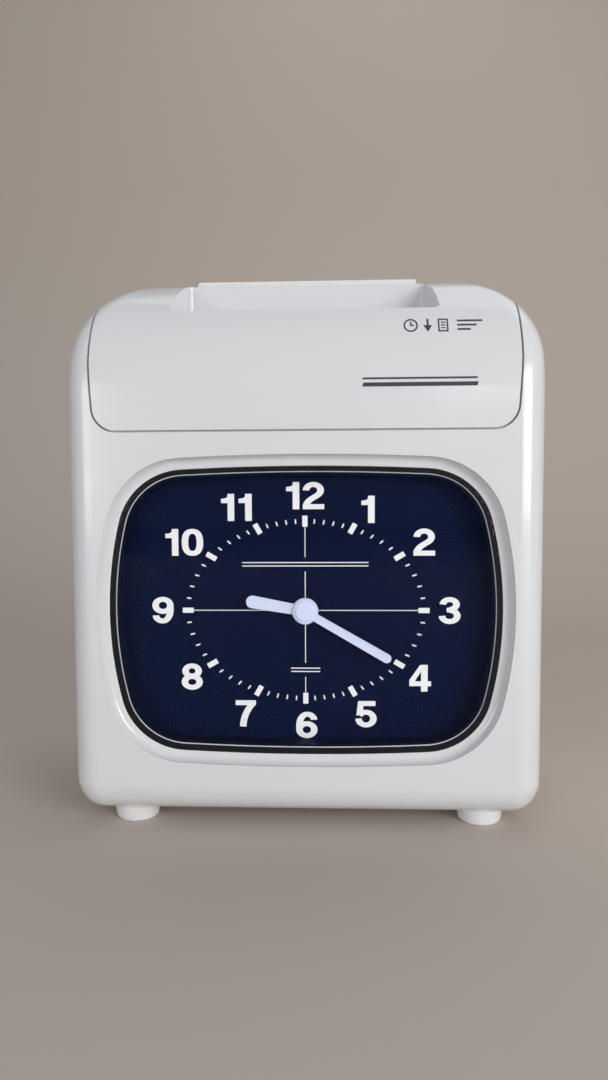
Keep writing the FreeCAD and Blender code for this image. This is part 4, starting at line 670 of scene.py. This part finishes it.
def lathe(profile, steps=40):
    """A bmesh turned about Z from (radius, height) points, starting and ending on the axis."""
    turned = bmesh.new()
    rings = []
    for radius, height in profile:
        if radius < 1e-9:
            rings.append([turned.verts.new((0, 0, height))])
            continue
        rings.append([turned.verts.new((radius * math.cos(2 * math.pi * i / steps),
                                        radius * math.sin(2 * math.pi * i / steps), height))
                      for i in range(steps)])
    for below, above in zip(rings, rings[1:]):
        for i in range(steps):
            j = (i + 1) % steps
            corners = [below[i % len(below)], below[j % len(below)],
                       above[j % len(above)], above[i % len(above)]]
            turned.faces.new(list(dict.fromkeys(corners)))
    bmesh.ops.recalc_face_normals(turned, faces=turned.faces)
    return turned


def cut_away(name, solid, tool):
    """One bmesh minus another, by an exact boolean."""
    objects = []
    for label, part in ((name, solid), (name + "_tool", tool)):
        mesh = bpy.data.meshes.new(label)
        part.to_mesh(mesh)
        part.free()
        objects.append(bpy.data.objects.new(label, mesh))
        bpy.context.scene.collection.objects.link(objects[-1])
    modifier = objects[0].modifiers.new("cut", "BOOLEAN")
    modifier.object, modifier.operation, modifier.solver = objects[1], "DIFFERENCE", "EXACT"
    evaluated = objects[0].evaluated_get(bpy.context.evaluated_depsgraph_get())
    result = bmesh.new()
    result.from_mesh(evaluated.data)
    for leftover in objects:
        mesh = leftover.data
        bpy.data.objects.remove(leftover)
        bpy.data.meshes.remove(mesh)
    return result


def cross_screw(head_radius, head_height, shank_radius, length):
    """A pan-head screw with a cross recess, head up, its underside at zero."""
    rim = head_height * 0.42
    profile = [(0, -length), (shank_radius * 0.4, -length + shank_radius * 0.5)]
    pitch = 0.9 * MM
    turns = int((length - 1.2 * MM) / pitch)
    for i in range(turns):
        low = -length + shank_radius * 0.6 + i * pitch
        profile += [(shank_radius * 0.8, low), (shank_radius, low + pitch * 0.5)]
    profile += [(shank_radius * 0.8, -0.3 * MM), (shank_radius * 0.8, 0)]
    profile += [(head_radius * 0.96, 0), (head_radius, head_height * 0.06), (head_radius, rim)]
    for i in range(1, 7):
        angle = math.radians(15 * i)
        profile.append((head_radius * math.cos(angle) ** 0.6 if i < 6 else 0,
                        rim + (head_height - rim) * math.sin(angle)))
    cross = bmesh.new()
    arm, slot = head_radius * 0.52, head_radius * 0.085
    outline = []
    for quarter in range(4):
        turn = Matrix.Rotation(math.radians(90 * quarter), 2)
        outline += [turn @ Vector(corner) for corner in ((slot, slot), (slot, arm), (-slot, arm))]
    top = [cross.verts.new((*point, head_height * 1.2)) for point in outline]
    deep = [cross.verts.new((*(point * 0.55), head_height * 0.25)) for point in outline]
    cross.faces.new(top)
    cross.faces.new(deep[::-1])
    for i in range(len(outline)):
        j = (i + 1) % len(outline)
        cross.faces.new((top[i], deep[i], deep[j], top[j]))
    bmesh.ops.recalc_face_normals(cross, faces=cross.faces)
    return cut_away("cross_screw", lathe(profile, 32), cross)


def islands(node):
    """The vertices of each separate solid of a CAD node."""
    mesh = NODES[node].data
    solid = bmesh.new()
    solid.from_mesh(mesh)
    bmesh.ops.remove_doubles(solid, verts=solid.verts, dist=1e-6)
    left, found = set(solid.verts), []
    while left:
        pending, island = [left.pop()], []
        while pending:
            vert = pending.pop()
            island.append(vert.co.copy())
            for edge in vert.link_edges:
                other = edge.other_vert(vert)
                if other in left:
                    left.remove(other)
                    pending.append(other)
        found.append(island)
    solid.free()
    return found


def detail_screws(node):
    """Replaces a group of plain CAD screws by screws with recessed heads and threads."""
    together = bmesh.new()
    for island in islands(node):
        low = Vector(min(point[i] for point in island) for i in range(3))
        high = Vector(max(point[i] for point in island) for i in range(3))
        size, middle = high - low, (low + high) / 2
        axis = max(range(3), key=lambda i: size[i])
        radius_at = [max((point - middle - Vector((point - middle)[axis] if i == axis else 0
                                                  for i in range(3))).length
                         for point in island if abs(point[axis] - end) < 1e-5)
                     for end in (low[axis], high[axis])]
        head_at_high = radius_at[1] > radius_at[0]
        head_radius, shank_radius = max(radius_at), min(radius_at)
        head_height = (1.8 if head_radius < 2.7 * MM else 2.3) * MM
        length = size[axis] - head_height
        screw = cross_screw(head_radius, head_height, shank_radius, length)
        outward = Vector((0, 0, 0))
        outward[axis] = 1 if head_at_high else -1
        seat = middle.copy()
        seat[axis] = (high if head_at_high else low)[axis] - outward[axis] * head_height
        twist = Matrix.Rotation(seat.x * 40 + seat.z * 70, 4, "Z")
        upright = outward.to_track_quat("Z", "Y").to_matrix().to_4x4()
        screw.transform(Matrix.Translation(seat) @ upright @ twist)
        mesh = bpy.data.meshes.new("screw_copy")
        screw.to_mesh(mesh)
        screw.free()
        together.from_mesh(mesh)
        bpy.data.meshes.remove(mesh)
    piece = to_object(node + "_detail", together, FINISHES["screw_steel"], "case",
                      smooth=True)
    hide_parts(node)


def detail_knob():
    """The ribbon knob with a fluted rim, a finger slot and a turned hub."""
    low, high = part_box("ribbon_knob")
    centre, radius = (low + high) / 2, (high.x - low.x) / 2
    disc_height, flutes = 3.4 * MM, 18
    steps = flutes * 6
    knob = bmesh.new()
    levels = [(high.z - disc_height, 0.94), (high.z - disc_height + 0.3 * MM, 1.0),
              (high.z - 0.6 * MM, 1.0), (high.z - 0.15 * MM, 0.95), (high.z, 0.86)]
    rings = []
    for height, share in levels:
        rim = []
        for i in range(steps):
            angle = 2 * math.pi * i / steps
            wave = 0.035 * (1 + math.cos(flutes * angle)) / 2
            reach = radius * (share - (wave if share > 0.9 else 0))
            rim.append(knob.verts.new((centre.x + reach * math.cos(angle),
                                       centre.y + reach * math.sin(angle), height)))
        rings.append(rim)
    for below, above in zip(rings, rings[1:]):
        for i in range(steps):
            j = (i + 1) % steps
            knob.faces.new((below[i], below[j], above[j], above[i]))
    knob.faces.new(rings[-1])
    knob.faces.new(rings[0][::-1])
    slot = bmesh.new()
    bmesh.ops.create_cube(slot, size=1)
    bmesh.ops.scale(slot, vec=(1.6 * MM, radius * 1.45, 3 * MM), verts=slot.verts)
    bmesh.ops.translate(slot, vec=(centre.x, centre.y, high.z), verts=slot.verts)
    knob = cut_away("knob", knob, slot)
    pin, spool, neck = 1.2 * MM, 4.4 * MM, 2.0 * MM
    spool_low, spool_high = low.z + 1.2 * MM, high.z - disc_height - 1.6 * MM
    stem_top = high.z - disc_height + 0.5 * MM
    stem = lathe([(0, low.z), (pin, low.z), (pin, spool_low), (spool, spool_low),
                  (spool, spool_high), (neck, spool_high), (neck, stem_top), (0, stem_top)])
    bmesh.ops.translate(stem, vec=(centre.x, centre.y, 0), verts=stem.verts)
    mesh = bpy.data.meshes.new("knob_stem")
    stem.to_mesh(mesh)
    stem.free()
    knob.from_mesh(mesh)
    bpy.data.meshes.remove(mesh)
    piece = to_object("ribbon_knob_fluted", knob, FINISHES["button_grey"],
                      "ribbon_takeup", smooth=True)
    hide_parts("ribbon_knob")


# ---------------------------------------------------------------- studio

CAMERA_PLACE = Vector((15.5, -410.2, 152.4)) * MM
CAMERA_TURN = {"yaw": 2.55, "pitch": -3.87, "roll": -0.31}
CAMERA_LENS = 27.03


def make_camera():
    data = bpy.data.cameras.new("camera")
    data.lens = CAMERA_LENS
    data.clip_start = 0.01
    camera = bpy.data.objects.new("camera", data)
    facing_way = Euler((math.radians(90 + CAMERA_TURN["pitch"]), 0,
                        math.radians(CAMERA_TURN["yaw"]))).to_matrix()
    turn = facing_way @ Matrix.Rotation(math.radians(CAMERA_TURN["roll"]), 3, "Z")
    camera.matrix_world = Matrix.Translation(CAMERA_PLACE) @ turn.to_4x4()
    bpy.context.scene.collection.objects.link(camera)
    bpy.context.scene.camera = camera


def softbox(name, place, target, size, watts, colour=(1, 1, 1)):
    data = bpy.data.lights.new(name, "AREA")
    data.shape = "RECTANGLE"
    data.size, data.size_y = size
    data.energy = watts
    data.color = colour
    lamp = bpy.data.objects.new(name, data)
    way = Vector(target) - Vector(place)
    lamp.matrix_world = (Matrix.Translation(place)
                         @ way.to_track_quat("-Z", "Y").to_matrix().to_4x4())
    lamp.visible_camera = False
    # the lens already lets lamp light through to the dial, so refracted rays don't add it again
    lamp.visible_transmission = False
    bpy.context.scene.collection.objects.link(lamp)


def make_floor():
    """A floor that sweeps up into a wall behind the clock."""
    sweep = bmesh.new()
    half, front, back, radius, top, steps = 3.0, -3.0, 1.1, 0.7, 2.6, 24
    line = [(front, 0.0)]
    for i in range(steps + 1):
        angle = math.radians(90 * i / steps)
        line.append((back - radius + radius * math.sin(angle), radius - radius * math.cos(angle)))
    line.append((back, top))
    rows = [[sweep.verts.new((x, y, z)) for x in (-half, half)] for y, z in line]
    for near, far in zip(rows, rows[1:]):
        sweep.faces.new((near[0], near[1], far[1], far[0]))
    made, tree, shader = principled("studio_sweep", Specular_IOR_Level=0.2)
    coloured(tree, shader, mixed(tree, noise(tree, 3), (0.60, 0.53, 0.475), (0.615, 0.545, 0.49)))
    roughened(tree, shader, noise(tree, 40), 0.6, 0.75)
    floor = to_object("studio_floor", sweep, made, None, smooth=True)


def make_studio():
    scene = bpy.context.scene
    scene.view_settings.view_transform = "Standard"
    world = bpy.data.worlds.new("studio_air")
    world.use_nodes = True
    background = world.node_tree.nodes["Background"].inputs
    background["Color"].default_value = (0.95, 0.97, 1.0, 1)
    background["Strength"].default_value = 0.30
    scene.world = world
    centre = (0, 0, 0.12)
    softbox("key", (1.0, -1.1, 0.42), centre, (0.8, 0.7), 11.5, (1.0, 0.99, 0.97))
    softbox("fill", (-0.85, -1.25, 0.30), centre, (0.8, 0.5), 4.3, (0.96, 0.97, 1.0))
    softbox("above", (0.3, 0.5, 1.4), centre, (1.4, 1.0), 3.4)
    softbox("window", (0.27, -1.22, 0.35), (0.27, 0, 0.30), (0.17, 0.09), 0.15)
    make_floor()


print_dial()
print_cover()
print_panel()
show_display()
detail_screws("casing_screws")
detail_screws("inner_screws")
detail_knob()
make_camera()
make_studio()
